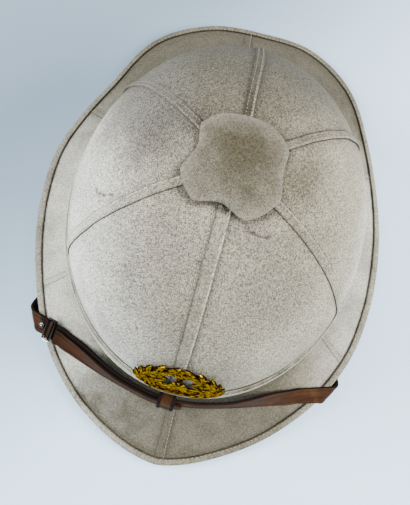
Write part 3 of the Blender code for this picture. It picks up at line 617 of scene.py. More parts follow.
def leatherMaterial(name, dark=0.0):
    # brown leather: rubbed streaks along it, dark burnished edges
    bench = Bench(name)
    where, strip = bench.place(), bench.clothMap()
    across, along = bench.split(strip, 0), bench.split(strip, 1)
    streak = bench.cloudy(bench.join(across * 900.0, along * 34.0), 1.0, detail=4.0).ramp(0.40, 0.80)
    pores = bench.cells(where, 1500.0)
    wearAndShade = bench.value("wearAndShade")
    deep, light, rubbed = (tuple(part * (1 - dark) for part in leatherFinish[tone])
                           for tone in ("deep", "light", "rubbed"))
    colour = bench.blend(streak, deep, light)
    colour = bench.blend(bench.cloudy(where, 90.0).ramp(0.5, 0.75) * 0.45, colour, rubbed)
    colour = bench.blend(wearAndShade.ramp(0.15, 0.95), colour, leatherFinish["edge"])
    height = pores * 0.5 + bench.cloudy(where, 700.0) * 0.5
    return bench.finish(colour=colour, roughness=leatherFinish["roughness"] + streak * 0.12 + wearAndShade * 0.30,
                        normal=bench.relief(height, 0.22, 0.0004), specular=leatherFinish["specular"])


def gildingMaterial(name):
    # stamped brass with its gilt rubbed bright on the high parts
    bench = Bench(name)
    where = bench.place()
    depth = bench.value("wearAndShade")
    tarnish = (bench.cloudy(where, 420.0, detail=4.0).ramp(0.42, 0.68) * 0.75 + depth * 1.05).ramp(0.08, 0.95)
    colour = bench.blend(tarnish, giltFinish["bright"], giltFinish["tarnished"])
    height = bench.cloudy(where, 900.0, detail=2.0)
    return bench.finish(colour=colour, roughness=giltFinish["roughness"] + tarnish * 0.3, metallic=1.0,
                        edgeTint=giltFinish["edgeTint"], normal=bench.relief(height, 0.40, 0.0003))


def metalMaterial(name):
    bench = Bench(name)
    where = bench.place()
    tones = metalFinish[name]
    worn = bench.cloudy(where, 420.0, detail=4.0).ramp(0.42, 0.7)
    scratches = bench.cloudy(bench.stretched(where, (300.0, 3000.0, 900.0)), 1.0)
    colour = bench.blend(bench.value("wearAndShade"), bench.blend(worn, tones["bright"], tones["dull"]),
                         metalFinish["tarnish"])
    return bench.finish(colour=colour, metallic=1.0, roughness=metalFinish["roughness"] + worn * 0.25,
                        normal=bench.relief(scratches, 0.12, 0.0002))


def floorMaterial():
    bench = Bench("studio floor")
    where = bench.place()
    # painted light falloff: the floor darkens towards the back and the left
    far = (bench.split(where, 1) * 0.6 - bench.split(where, 0)).ramp(-0.10, 0.20)
    tone = bench.blend(far, floorFinish["near"], floorFinish["far"])
    paper = bench.cloudy(where, 900.0, detail=2.0)
    return bench.finish(colour=bench.shaded(tone, 0.97 + paper * 0.06),
                        roughness=floorFinish["roughness"], specular=floorFinish["specular"])


print("material tools ready")


# Stitches: a Geometry Nodes tree that lays thread along the edges of a path mesh

stitchSizes = {
    "crown": {"Pitch": 0.0024, "Stitch length": 0.0015, "Thread thickness": 0.00030},
    "brim": {"Pitch": 0.0027, "Stitch length": 0.0016, "Thread thickness": 0.00030},
    "edge": {"Pitch": 0.0030, "Stitch length": 0.0018, "Thread thickness": 0.00042},
}
stitchShape = {"skew": 0.12, "segments": 6, "rings": 5, "seed": 4}


def stitchTree(name, material):
    tree = bpy.data.node_groups.new(name, "GeometryNodeTree")
    face = tree.interface
    face.new_socket("Path", in_out="INPUT", socket_type="NodeSocketGeometry")
    for label, value in stitchSizes["crown"].items():
        socket = face.new_socket(label, in_out="INPUT", socket_type="NodeSocketFloat")
        socket.default_value = value
    seed = face.new_socket("Seed", in_out="INPUT", socket_type="NodeSocketInt")
    seed.default_value = stitchShape["seed"]
    skew = (stitchShape["skew"],) * 3
    face.new_socket("Stitches", in_out="OUTPUT", socket_type="NodeSocketGeometry")

    def node(kind, settings=None, sockets=None):
        made = tree.nodes.new(kind)
        for key, value in (settings or {}).items():
            setattr(made, key, value)
        for key, value in (sockets or {}).items():
            if isinstance(value, bpy.types.NodeSocket):
                tree.links.new(value, made.inputs[key])
            else:
                made.inputs[key].default_value = value
        return made

    entry = node("NodeGroupInput")
    curve = node("GeometryNodeMeshToCurve", None, {"Mesh": entry.outputs["Path"]})
    spaced = node("GeometryNodeResampleCurve", {"mode": "LENGTH"},
                  {"Curve": curve.outputs["Curve"], "Length": entry.outputs["Pitch"]})
    raised = node("GeometryNodeInputNamedAttribute", {"data_type": "FLOAT_VECTOR"}, {"Name": "faceUp"})
    upright = node("FunctionNodeAlignRotationToVector", {"axis": "Z"},
                   {"Vector": raised.outputs["Attribute"]})
    run = node("GeometryNodeInputTangent")
    wander = node("FunctionNodeRandomValue", {"data_type": "FLOAT_VECTOR"}, {
        "Min": tuple(-part for part in skew), "Max": skew, "Seed": entry.outputs["Seed"]})
    skewed = node("ShaderNodeVectorMath", {"operation": "ADD"},
                  {0: run.outputs["Tangent"], 1: wander.outputs["Value"]})
    turned = node("FunctionNodeAlignRotationToVector", {"axis": "X", "pivot_axis": "Z"},
                  {"Rotation": upright.outputs["Rotation"], "Vector": skewed.outputs["Vector"]})
    ball = node("GeometryNodeMeshUVSphere", None, {
        "Segments": stitchShape["segments"], "Rings": stitchShape["rings"], "Radius": 0.5})
    sized = node("ShaderNodeCombineXYZ", None, {
        "X": entry.outputs["Stitch length"], "Y": entry.outputs["Thread thickness"],
        "Z": entry.outputs["Thread thickness"]})
    thread = node("GeometryNodeInstanceOnPoints", None, {
        "Points": spaced.outputs["Curve"], "Instance": ball.outputs["Mesh"],
        "Rotation": turned.outputs["Rotation"], "Scale": sized.outputs["Vector"]})
    real = node("GeometryNodeRealizeInstances", None, {"Geometry": thread.outputs["Instances"]})
    tinted = node("GeometryNodeSetMaterial", None, {"Geometry": real.outputs["Geometry"], "Material": material})
    leave = node("NodeGroupOutput")
    tree.links.new(tinted.outputs["Geometry"], leave.inputs["Stitches"])
    return tree


def pathObject(name, lines):
    # lines: [(points, upward directions, closed)]
    mesh = bpy.data.meshes.new(name)
    verts, edges, ups = [], [], []
    for points, directions, closed in lines:
        first = len(verts)
        verts += points
        ups += directions
        edges += [(first + k, first + k + 1) for k in range(len(points) - 1)]
        if closed:
            edges.append((len(verts) - 1, first))
    mesh.from_pydata(verts, edges, [])
    storeOnPoints(mesh, "faceUp", ups, "FLOAT_VECTOR", "vector")
    return addObject(name, mesh)


def stitchAlong(name, lines, tree, inputs):
    path = pathObject(name + "Path", lines)
    modifier = path.modifiers.new("stitches", "NODES")
    modifier.node_group = tree
    for socket in tree.interface.items_tree:
        if socket.in_out == "INPUT" and socket.name in inputs:
            modifier[socket.identifier] = inputs[socket.name]
    result = bakedCopy(path, name)
    result.data.shade_smooth()
    return result


# Crown

crownMarks = [
    ((-0.0690, -0.0222, 0.1140), (0.0013, 0.0022, 0.0030), 30.0, 0.45),
    ((-0.0672, -0.0242, 0.1164), (0.0016, 0.0026, 0.0030), 45.0, 0.70),
    ((-0.0648, -0.0258, 0.1190), (0.0026, 0.0016, 0.0030), -30.0, 0.75),
    ((-0.0620, -0.0268, 0.1216), (0.0032, 0.0013, 0.0030), -12.0, 0.80),
    ((-0.0579, -0.0272, 0.1260), (0.0034, 0.0011, 0.0034), -4.0, 0.65),
    ((-0.0640, -0.0300, 0.1180), (0.0018, 0.0014, 0.0030), 0.0, 0.45),
    ((-0.0281, -0.0898, 0.1055), (0.0013, 0.0015, 0.0020), 10.0, 0.80),
    ((-0.0047, -0.0537, 0.1407), (0.0016, 0.0008, 0.0020), 20.0, 0.75),
    ((0.0150, -0.0322, 0.1463), (0.0026, 0.0009, 0.0030), -30.0, 0.50),
    ((0.0178, -0.0340, 0.1458), (0.0038, 0.0012, 0.0030), -12.0, 0.75),
    ((0.0216, -0.0344, 0.1452), (0.0030, 0.0010, 0.0030), 5.0, 0.65),
    ((0.0257, -0.0335, 0.1444), (0.0028, 0.0012, 0.0030), 24.0, 0.75),
    ((0.0058, -0.0815, 0.1230), (0.0010, 0.0014, 0.0020), 0.0, 0.70),
]
crownStainsAndShade = [
    # painted shadow under the cap's front hollow
    ((0.0026, -0.0264, 0.1500), (0.0052, 0.0036, 0.0052), 0.95, (0.018, 0.015, 0.010)),
    ((0.0370, -0.0010, 0.1440), (0.0160, 0.0180, 0.0200), 0.75, (0.105, 0.090, 0.062)),
    ((0.0200, -0.0350, 0.1450), (0.0200, 0.0100, 0.0200), 0.60, (0.130, 0.118, 0.100)),
    ((-0.0420, 0.0150, 0.1350), (0.0220, 0.0320, 0.0280), 0.95, (0.092, 0.084, 0.070)),
    ((-0.0560, 0.0360, 0.1150), (0.0340, 0.0420, 0.0440), 0.90, (0.135, 0.127, 0.106)),
    ((-0.0150, -0.0480, 0.1400), (0.0260, 0.0240, 0.0260), 0.55, (0.165, 0.145, 0.122)),
    ((0.0300, -0.0560, 0.1280), (0.0320, 0.0300, 0.0320), 0.80, (0.160, 0.148, 0.116)),
    # painted shade over the top of the back, away from the lamps
    ((0.0050, 0.0720, 0.1200), (0.0640, 0.0420, 0.0500), 0.80, (0.088, 0.082, 0.062)),
]
brimMarks = [
    ((0.0232, -0.1281, 0.0229), (0.0004, 0.0028, 0.0040), 28.0, 0.45),
    ((0.0273, -0.1326, 0.0189), (0.0004, 0.0032, 0.0040), 40.0, 0.45),
    ((0.0315, -0.1371, 0.0151), (0.0004, 0.0026, 0.0040), 44.0, 0.4),
    ((0.0362, -0.1340, 0.0156), (0.0009, 0.0008, 0.0020), 0.0, 0.6),
    ((0.0174, -0.1492, 0.0112), (0.0008, 0.0008, 0.0020), 0.0, 0.6),
]
capStains = [
    ((0.0040, -0.0020, 0.1600), (0.0250, 0.0250, 0.0250), 0.90, (0.062, 0.055, 0.037)),
    ((-0.0025, 0.0060, 0.1600), (0.0150, 0.0100, 0.0200), 0.55, (0.044, 0.037, 0.018)),
    ((0.0090, 0.0020, 0.1590), (0.0120, 0.0100, 0.0200), 0.45, (0.052, 0.043, 0.024)),
    ((0.0020, -0.0060, 0.1600), (0.0090, 0.0070, 0.0200), 0.40, (0.052, 0.043, 0.024)),
    ((0.0100, -0.0180, 0.1560), (0.0050, 0.0060, 0.0120), 0.60, (0.042, 0.034, 0.024)),
]


# painted shade round the hat: the crown darker towards the back, the brim at both ends, away from the side lamps

def paintedBackShade(turn):
    return 0.85 * smoothStep((math.cos(turn - math.radians(188.0)) - 0.25) / 0.7)


def paintedEndShade(turn):
    behind = 0.95 * smoothStep((math.cos(turn - math.radians(185.0)) - 0.3) / 0.6)
    return behind + 0.85 * smoothStep((math.cos(turn - math.radians(7.0)) - 0.72) / 0.20)


def makeCrown(material):
    count, rows, innerRows = crownSizes["columns"], crownSizes["rows"], crownSizes["innerRows"]
    highest = math.radians(crownSizes["lastClimb"])
    climbs = [highest * (rows - row) / rows for row in range(rows + 1)]
    hole, wall, top = crownSizes["ventHole"], crownSizes["wall"], crownSizes["top"]
    foot = brimSizes["joinHeight"] - brimSizes["wall"]
    columns, lengths = [], []
    for i in range(count):
        turn = turnAt(i, count)
        column = [placeAt(turn, hole, top)]
        for climb in climbs:
            near = seamDistance(turn, radiusOf(crownSpot(turn, climb)), "crown")
            pull = crownSizes["pucker"] * math.exp(-(near / crownSizes["puckerReach"]) ** 2)
            ridge = math.sin(crownSizes["puckerWaves"] * climb) * 0.35 + 0.65
            column.append(crownSpot(turn, climb) - crownNormal(turn, climb) * pull * ridge)
        column.append(placeAt(turn, crownRadius(turn), foot))
        column.append(placeAt(turn, crownRadius(turn) - wall, foot))
        for row in range(innerRows + 1):
            climb = highest * row / innerRows
            column.append(crownSpot(turn, climb) - crownNormal(turn, climb) * wall)
        column.append(placeAt(turn, hole, top - wall))
        columns.append(column)
        lengths.append(runningLengths(column))
    bearings = sorted(seam["crown"] % 360.0 for seam in seams)

    def panelMiddle(column):
        degrees = 360.0 * (column + 0.5) / count
        inside = [b for b in bearings if b <= degrees]
        start = inside[-1] if inside else bearings[-1] - 360.0
        later = [b for b in bearings if b > degrees]
        end = later[0] if later else bearings[0] + 360.0
        return math.radians((start + end) / 2)

    def uv(i, j, faceColumn):
        j = j % len(columns[0])
        turn = turnAt(i, count)
        radius = radiusOf(columns[i % count][j])
        middle = panelMiddle(faceColumn)
        return (turn - middle) * radius + 0.02 * middle, lengths[i % count][j] + 0.013 * middle

    def wearAndShade(i, j):
        point = columns[i][j]
        turn, radius = turnAt(i, count), radiusOf(point)
        # dirt along the seams with painted shade beside them, a painted shadow just under the cap's rim and painted
        # shade round it, and painted shade against the band
        near = seamDistance(turn, radius, "crown")
        seamDirtAndShade = 0.34 * math.exp(-(near / 0.0065) ** 2)
        capEdge = capSizes["radius"] * (1 - capHollow(math.degrees(turn)))
        paintedCapShade = (0.85 * math.exp(-((radius - capEdge + 0.0007) / 0.0021) ** 2)
                 + 0.28 * smoothStep((capEdge * 1.3 - radius) / 0.009))
        paintedBandShade = 0.40 * smoothStep((bandTop() + 0.005 - point.z) / 0.005)
        return seamDirtAndShade + paintedCapShade + paintedBandShade + paintedBackShade(turn)

    piece = makePiece("crownCover", columns, True, material, 45.0, uv, wearAndShade)
    return settle(piece, "crown", slot="cover_cloth")


def makeCrownSeam(seam, material):
    bearing, half = math.radians(seam["crown"]), seam["crownWidth"] / 2
    rows, across, wall = seamSizes["rows"], seamSizes["columns"], seamSizes["wall"]
    start = math.asin(((bandTop() + gap - brimSizes["joinHeight"])
                       / (crownSizes["top"] - brimSizes["joinHeight"])) ** (crownSizes["fullness"] / 2))
    end = math.radians(seamSizes["lastClimb"])
    columns, threads = [], {-1: ([], []), 1: ([], [])}
    for row in range(rows + 1):
        climb = start + (end - start) * row / rows
        radius = radiusOf(crownSpot(bearing, climb))
        wave = noise.noise(Vector((bearing * 3.0, climb * 9.0, 1.7))) * seamSizes["wander"]
        top = []
        for step in range(across):
            share = 2 * step / (across - 1) - 1
            lean = share * seam["raised"]
            rise = wall * (0.62 + 0.26 * smoothStep((lean + 1) / 2)
                           + 0.38 * math.exp(-((lean - 0.82) / 0.2) ** 2)
                           - 0.22 * math.exp(-((abs(share) - 0.6) / 0.13) ** 2))
            rise += 0.00008 * math.sin(climb * 330.0) * (1 - abs(share))
            turn = bearing + (share * half + wave) / radius
            normal = crownNormal(turn, climb)
            point = crownSpot(turn, climb) + normal * rise
            top.append(point)
            for side in (-1, 1):
                if step == (across - 1) // 2 + side * round(0.3 * (across - 1)):
                    threads[side][0].append(point + normal * 0.00012)
                    threads[side][1].append(normal)
        low = [crownSpot(bearing + (share * (half + 0.0001) + wave) / radius, climb) for share in (1, -1)]
        columns.append(top + low)
    loop = len(columns[0])
    runs = runningLengths([column[across // 2] for column in columns])

    def uv(i, j, faceColumn):
        return seam["crownWidth"] * (j % loop) / (across - 1), runs[i] + 0.3 * bearing

    def wearAndShade(i, j):
        # painted shade along both edges, most at the raised one where the strip steps down to the crown; paler
        # along the ridge, rubbed and with a painted highlight; painted shade towards the back
        side = (2 * j / (across - 1) - 1) * seam["raised"]
        if j >= across:
            return 1.0
        soilAndShade = (0.12 + 0.8 * math.exp(-((side + 1.0) / 0.20) ** 2)
                + 1.1 * math.exp(-((side - 1.0) / 0.10) ** 2))
        ridge = math.exp(-((side - 0.72) / 0.17) ** 2)
        return (soilAndShade + paintedBackShade(bearing)) * (1 - ridge) - (0.40 - 0.35 * paintedBackShade(bearing)) * ridge

    piece = makePiece("crownSeam_" + seam["name"], columns, False, material, 60.0, uv, wearAndShade, caps=True)
    settle(piece, "crown_seam_" + seam["name"], slot="seam_cloth")
    return [(points, ups, False) for points, ups in threads.values()]


# Brim, its seams and its taped edge

def brimFace(turn, radius, distance):
    reach, height = brimOffset(turn, radius, distance)
    share = (radius - brimInner(turn)) / (brimOuter(turn) - brimInner(turn))
    quiet = smoothStep(share / 0.3) * smoothStep((1 - share) / 0.25)
    ripple = unevenness(turn, 2.4, radius * 21.0)
    return placeAt(turn, reach, height + brimSizes["ripple"] * ripple * quiet)


def makeBrim(material):
    count, rows, wall = brimSizes["columns"], brimSizes["rows"], brimSizes["wall"]
    lowRows = rows // 2
    columns = []
    for i in range(count):
        turn = turnAt(i, count)
        inner, outer = brimInner(turn), brimOuter(turn)
        column = [brimFace(turn, inner + (outer - inner) * row / rows, 0.0) for row in range(rows + 1)]
        for row in range(lowRows + 1):
            radius = outer + (inner - outer) * row / lowRows
            point = brimFace(turn, radius, -wall)
            short = inner - radiusOf(point)
            if short > 0:
                point += outwardAt(turn) * short
            column.append(point)
        columns.append(column)
    bearings = sorted(seam["brim"] % 360.0 for seam in seams)

    def uv(i, j, faceColumn):
        turn, degrees = turnAt(i, count), 360.0 * (faceColumn + 0.5) / count
        start = max([b for b in bearings if b <= degrees] or [bearings[-1] - 360.0])
        radius = radiusOf(columns[i % count][j % len(columns[0])])
        return (turn - math.radians(start)) * 0.135, radius + 0.01 * start

    def wearAndShade(i, j):
        # painted shade against the band, dirt and painted shade along the seams, darker towards the outer edge, and
        # painted shade at the front and back ends
        point, turn = columns[i][j], turnAt(i, count)
        radius = radiusOf(point)
        share = (radius - brimInner(turn)) / (brimOuter(turn) - brimInner(turn))
        atEdge = 0.42 * smoothStep((share - 0.80) / 0.16)
        paintedBandShade = 0.35 * smoothStep((0.30 - share) / 0.14)
        seamDirtAndShade = 0.25 * math.exp(-(seamDistance(turn, radius, "brim") / 0.005) ** 2)
        return atEdge + paintedBandShade + seamDirtAndShade + paintedEndShade(turn)

    piece = makePiece("brimCover", columns, True, material, 40.0, uv, wearAndShade)
    return settle(piece, "brim", slot="cover_cloth")


def makeBrimSeam(seam, material):
    bearing, half, wall = math.radians(seam["brim"]), seam["brimWidth"] / 2, seamSizes["wall"]
    across, rows = seamSizes["columns"], seamSizes["rows"] // 3
    columns, threads = [], ([], [])
    for row in range(rows + 1):
        part = row / rows
        column = []
        for step in range(across + 2):
            share = 2 * step / (across - 1) - 1 if step < across else (1, -1)[step - across]
            turn = bearing + share * half / seamSizes["brimRadius"]
            first = bandReach(turn) + gap
            last = brimOuter(turn) - tapeSizes["leg"] - gap
            lean = share * seam["raised"]
            rise = wall * (0.45 + 0.25 * smoothStep((lean + 1) / 2)
                           + 0.30 * math.exp(-((lean - 0.8) / 0.22) ** 2))
            point = brimFace(turn, last + (first - last) * part, rise if step < across else 0.0)
            column.append(point)
        threads[0].append(column[across - 2 if seam["raised"] > 0 else 1] + upwards * 0.0002)
        threads[1].append(upwards)
        columns.append(column)

    def uv(i, j, faceColumn):
        return seam["brimWidth"] * (j % (across + 2)) / (across - 1), 0.05 * i / rows

    def wearAndShade(i, j):
        # painted shade along both edges of the strip, and at the brim's front and back ends
        side = (2 * j / (across - 1) - 1) * seam["raised"]
        return 0.15 + 0.6 * math.exp(-((abs(side) - 1.0) / 0.15) ** 2) + paintedEndShade(bearing)

    piece = makePiece("brimSeam_" + seam["name"], columns, False, material, 60.0, uv, wearAndShade, caps=True)
    settle(piece, "brim_seam_" + seam["name"], slot="seam_cloth")
    return (*threads, False)


def makeEdgeTape(material):
    count, leg, noseSteps = tapeSizes["columns"], tapeSizes["leg"], tapeSizes["noseSteps"]
    thick = brimSizes["wall"]
    inside, outside = gap, gap + tapeSizes["wall"]
    columns, threads = [], ([], [])
    for i in range(count):
        turn = turnAt(i, count)
        outer = brimOuter(turn)
        top = brimHeight(turn, outer)
        slope = math.atan2(top - brimHeight(turn, outer - leg), leg)
        along, up = (math.cos(slope), math.sin(slope)), (-math.sin(slope), math.cos(slope))

        def at(out, rise):
            return placeAt(turn, outer + out * along[0] + rise * up[0], top + out * along[1] + rise * up[1])

        tug = tapeSizes["tug"] * unevenness(turn, 30, 3.0)
        column = [at(-leg + tug, inside), at(-leg + tug, outside - 0.0002),
                  at(-leg + 0.0006 + tug, outside + 0.00012), at(-leg + 0.0013, outside - 0.00012),
                  at(-leg * 0.45, outside + 0.00008)]
        for step in range(noseSteps):
            angle = math.pi / 2 - math.pi * step / (noseSteps - 1)
            column.append(at(outside * math.cos(angle), -thick / 2 + (thick / 2 + outside) * math.sin(angle)))
        column += [at(-leg * 0.5, -thick - outside), at(-leg, -thick - outside), at(-leg, -thick - inside),
                   at(inside, -thick - inside), at(inside, inside)]
        low = footHeight(turn)
        column = [point if point.z > low else Vector((point.x, point.y, low)) for point in column]
        columns.append(column)
        threads[0].append(column[3] + upwards * 0.0001)
        threads[1].append(Vector((math.sin(turn) * up[0], -math.cos(turn) * up[0], up[1])))

    def uv(i, j, faceColumn):
        return 0.86 * i / count, 0.0008 * (j % len(columns[0]))

    def wearAndShade(i, j):
        turn = turnAt(i, count)
        rub = 0.4 * max(unevenness(turn, 9, 5.0), 0.0)
        return 1.0 if j < 2 else 0.75 if j == 2 else 0.35 if j == 3 else rub

    piece = makePiece("edgeTape", columns, True, material, 55.0, uv, wearAndShade)
    settle(piece, "edge_tape", slot="edge_tape")
    return (*threads, True)


# Hat band: rolled pleats, each a little uneven on its way round

bandSizes = {
    "height": 0.019,
    "topDepth": 0.0012,
    "step": 0.0009,
    "roll": 0.0016,
    "creaseWander": 0.0007,
    "creaseCut": 0.0006,
    "pleats": 4,
    "pleatSteps": 7,
    "columns": 300,
}


def bandTop():
    return brimSizes["joinHeight"] + bandSizes["height"]


def bandDepth():
    return bandSizes["topDepth"] + bandSizes["step"] * bandSizes["pleats"]


def bandFoot(turn):
    return brimHeight(turn, crownRadius(turn) + bandDepth()) + 1.5 * gap


def plainBand(turn):
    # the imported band's stacked pleats, as (radius, height)
    radius, top, low = crownRadius(turn), bandTop(), bandFoot(turn)
    fall = (top - low) / bandSizes["pleats"]
    section = []
    for pleat in range(bandSizes["pleats"]):
        crease = top - fall * pleat
        depth = radius * crownShare(crease) + bandSizes["topDepth"] + bandSizes["step"] * pleat
        section += [(depth, crease), (depth + bandSizes["roll"], crease - 0.62 * fall)]
    section.append((radius + bandDepth(), low))
    return section


def bandReach(turn):
    return max(radius for radius, _ in plainBand(turn))


def makeHatBand(material):
    count, pleats, steps = bandSizes["columns"], bandSizes["pleats"], bandSizes["pleatSteps"]
    columns = []
    for i in range(count):
        turn = turnAt(i, count)
        radius, top, low = crownRadius(turn), bandTop(), bandFoot(turn)
        fall = (top - low) / pleats
        here = Vector((math.sin(turn) * 2.2, math.cos(turn) * 2.2, 0.0))
        creases = [top]
        for pleat in range(1, pleats):
            wander = noise.noise(here + Vector((0, 0, pleat * 3.1)))
            creases.append(top - fall * pleat + bandSizes["creaseWander"] * wander)
        creases.append(low)
        section = [(radius + 2 * gap, brimSizes["joinHeight"] + gap),
                   (radius * crownShare(top) + gap, top - 0.0006), (radius * crownShare(top) + gap + 0.0004, top)]
        for pleat in range(pleats):
            depth = bandSizes["topDepth"] + bandSizes["step"] * pleat
            fullness = 1 + 0.22 * noise.noise(here * 1.7 + Vector((0, 0, pleat * 1.9 + 20)))
            full = bandSizes["roll"] * fullness
            for step in range(1 if pleat == 0 else 0, steps):
                part = step / steps
                height = creases[pleat] + (creases[pleat + 1] - creases[pleat]) * part
                belly = math.sin(math.pi * min(part * 1.12, 1.0)) ** 0.6
                bend = radius * crownShare(height) - radius
                cut = bandSizes["creaseCut"] if step == 0 else 0.0
                section.append((radius + bend + depth + bandSizes["step"] * part + full * belly - cut, height))
        section.append((radius + bandDepth(), low))
        columns.append([placeAt(turn, reach, height) for reach, height in section])
    loop = len(columns[0])

    def uv(i, j, faceColumn):
        return 0.66 * i / count, 0.001 * (j % loop)

    def wearAndShade(i, j):
        # painted shade in the crease under each pleat, and where the band meets the crown and the brim
        if j < 3 or j == loop - 1:
            return 0.5
        part = ((j - 2) % steps) / steps
        return math.exp(-(part / 0.27) ** 2) + 0.5 * math.exp(-((1 - part) / 0.14) ** 2)

    piece = makePiece("hatBand", columns, True, material, 70.0, uv, wearAndShade)
    return settle(piece, "hat_band", slot="band_cloth")


# Vent cap

capSizes = {
    "radius": 0.0292,
    "wall": 0.0016,
    "top": 0.1605,
    "rimLift": 0.0014,
    "arch": 0.0022,
    "lip": 0.0014,
    "dome": 2.4,
    "fold": 0.0005,
    "narrowing": 0.045,   # the sides are this share narrower than the front and back
    "hollowEase": 1.15,
    "hollowDip": 0.12,
    "columns": 180,
    "rows": 30,
}

capHollows = [
    {"bearing": -8.0, "depth": 0.22, "halfAngle": 29.0},
    {"bearing": 93.0, "depth": 0.13, "halfAngle": 27.0},
    {"bearing": 180.0, "depth": 0.06, "halfAngle": 30.0},
    {"bearing": -101.0, "depth": 0.20, "halfAngle": 28.0},
]


def capHollow(degrees):
    # how deep the outline is cut at a bearing, as a share of the radius
    depth = 0.0
    for hollow in capHollows:
        away = abs(math.remainder(degrees - hollow["bearing"], 360.0)) / hollow["halfAngle"]
        if away < 1:
            inside = 1 - away ** 2
            depth += hollow["depth"] * inside ** capSizes["hollowEase"] * (1 + capSizes["hollowDip"] * inside)
    return depth


def capSpot(turn, share, drop=0.0):
    hollow = capHollow(math.degrees(turn))
    rim = crownSizes["top"] + capSizes["rimLift"] + capSizes["arch"] * hollow / capHollows[0]["depth"]
    height = capSizes["top"] - (capSizes["top"] - rim) * share ** capSizes["dome"]
    fold = unevenness(turn, 1.6, share * 1.3 + 40.0)
    height += capSizes["fold"] * fold * smoothStep(share / 0.4) * smoothStep((1 - share) / 0.2)
    reach = capSizes["radius"] * (1 - capSizes["narrowing"] * math.sin(turn) ** 2)
    return placeAt(turn, share * reach * (1 - hollow * share ** 2), height - drop)


def makeVentCap(material):
    count, rows, wall, lip = capSizes["columns"], capSizes["rows"], capSizes["wall"], capSizes["lip"]
    columns = []
    for i in range(count):
        turn = turnAt(i, count)
        column = [capSpot(turn, (row / rows) ** 0.85 * 0.985) for row in range(rows + 1)]
        edge, back = capSpot(turn, 1.0), capSpot(turn, 0.93)
        inwards = (back - edge).normalized()
        column += [edge - upwards * 0.00035, edge - upwards * lip * 0.6 + inwards * 0.0001,
                   edge - upwards * lip + inwards * 0.0005, edge - upwards * lip + inwards * 0.0013]
        column += [capSpot(turn, share, wall) for share in (0.92, 0.7, 0.45, 0.2, 0.0)]
        columns.append(column)

    def uv(i, j, faceColumn):
        point = columns[i % count][j % len(columns[0])]
        return point.x - crownCentre.x + 0.003, point.y + 0.004

    def wearAndShade(i, j):
        # painted shade on the turned-down lip and underneath; the top grows paler towards its rim
        if j > rows + 4:
            return 0.7
        if j > rows + 1:
            return 0.8
        share = radiusOf(columns[i][j]) / capSizes["radius"] / (1 - capHollow(360.0 * i / count))
        return -0.17 * smoothStep((share - 0.74) / 0.22)

    piece = makePiece("ventCap", columns, True, material, 60.0, uv, wearAndShade)
    weld(piece)
    return settle(piece, "vent_cap", slot="cover_cloth")


print("crown, brim, band and cap shapes ready")


# Chin strap: over the brim, round its edge, back underneath and up the crown's inside wall

strapSizes = {
    "width": 0.0108,
    "wall": 0.002,
    "bearing": 47.0,
    "firstAngle": 42.0,   # degrees between the strap and the brim's edge, before it is worked out
    "lift": 0.0042,
    "anchorRun": 0.018,
    "topRun": 0.014,
    "bend": 0.003,
    "offWall": 0.0012,
    "cover": 0.0006,
    "ease": 0.0065,
    "hugSteps": 14,
    "straightSteps": 30,
    "edgeStep": 0.0009,
    "tailWidth": 0.0098,
    "tailWall": 0.0018,
    "tailDrop": 0.0012,
    "tailPastKeeper": 0.004,
    "tailSteps": 90,
}

keeperSizes = {
    "wall": 0.0011,
    "loose": 0.0004,
    "frontLength": 0.011,
    "frontPlace": -0.0035,
    "sideLength": 0.0036,
    "sideFromEdge": 0.0085,
}

buckleSizes = {"wire": 0.0013, "length": 0.0066}

studSizes = {"radius": 0.0018, "height": 0.0016, "fromEdge": 0.0021, "columns": 32}

# the four corners of a loop: side across, side outwards, and the degrees where its round starts
loopCorners = ((1, 1, 0), (-1, 1, 90), (-1, -1, 180), (1, -1, 270))

Station = namedtuple("Station", "distance low middle high")


def edgeFrame(turn, side):
    step = 0.01 * side
    here = placeAt(turn, brimOuter(turn), 0.0)
    along = (placeAt(turn + step, brimOuter(turn + step), 0.0)
             - placeAt(turn - step, brimOuter(turn - step), 0.0)).normalized()
    return here, along, Vector((along.y, -along.x, 0.0)) * side


def strapProfile(turn, side, cover):
    here, _, outwards = edgeFrame(turn, side)
    above = gap + tapeSizes["wall"] + cover
    wall, leg, bendRadius = brimSizes["wall"], tapeSizes["leg"], strapSizes["bend"]

    def surface(inward, distance):
        plan = here - outwards * inward
        nearer = plan - outwards * leg
        height = brimHeight(bearingOf(plan), radiusOf(plan))
        fall = height - brimHeight(bearingOf(nearer), radiusOf(nearer))
        along = (outwards * leg + upwards * fall).normalized()
        square = (upwards - along * along.z).normalized()
        return plan + upwards * height + square * distance, along, square

    points = [surface(strapSizes["topRun"] * (1 - step / 6), above)[0] for step in range(6)]
    middle, along, square = surface(0.0, -wall / 2)
    bend = wall / 2 + above
    for step in range(13):
        angle = math.pi * step / 12
        points.append(middle + along * bend * math.sin(angle) + square * bend * math.cos(angle))
    low = brimSizes["joinHeight"] - wall - above
    reach = 0.0
    innerWall = crownSizes["wall"] + strapSizes["offWall"]
    while radiusOf(here - outwards * reach) > crownRadius(bearingOf(here - outwards * reach)) - innerWall:
        reach += 0.0001
    for step in range(1, 9):
        inward = (reach - bendRadius) * step / 9
        point = surface(inward, -wall - above)[0]
        points.append(Vector((point.x, point.y, min(point.z, low))))
    for step in range(7):
        angle = math.pi / 2 * step / 6
        inward = reach - bendRadius * (1 - math.sin(angle))
        points.append(here - outwards * inward + upwards * (low + bendRadius * (1 - math.cos(angle))))
    end = here - outwards * (reach - strapSizes["offWall"] + gap)
    points.append(end + upwards * (low + bendRadius + strapSizes["anchorRun"]))
    return points


def alongChain(points, distance):
    # the point this far along the line, or past its end
    for first, second in zip(points, points[1:]):
        length = (second - first).length
        if distance <= length or second is points[-1]:
            return first.lerp(second, distance / length)
        distance -= length


profiles = {}


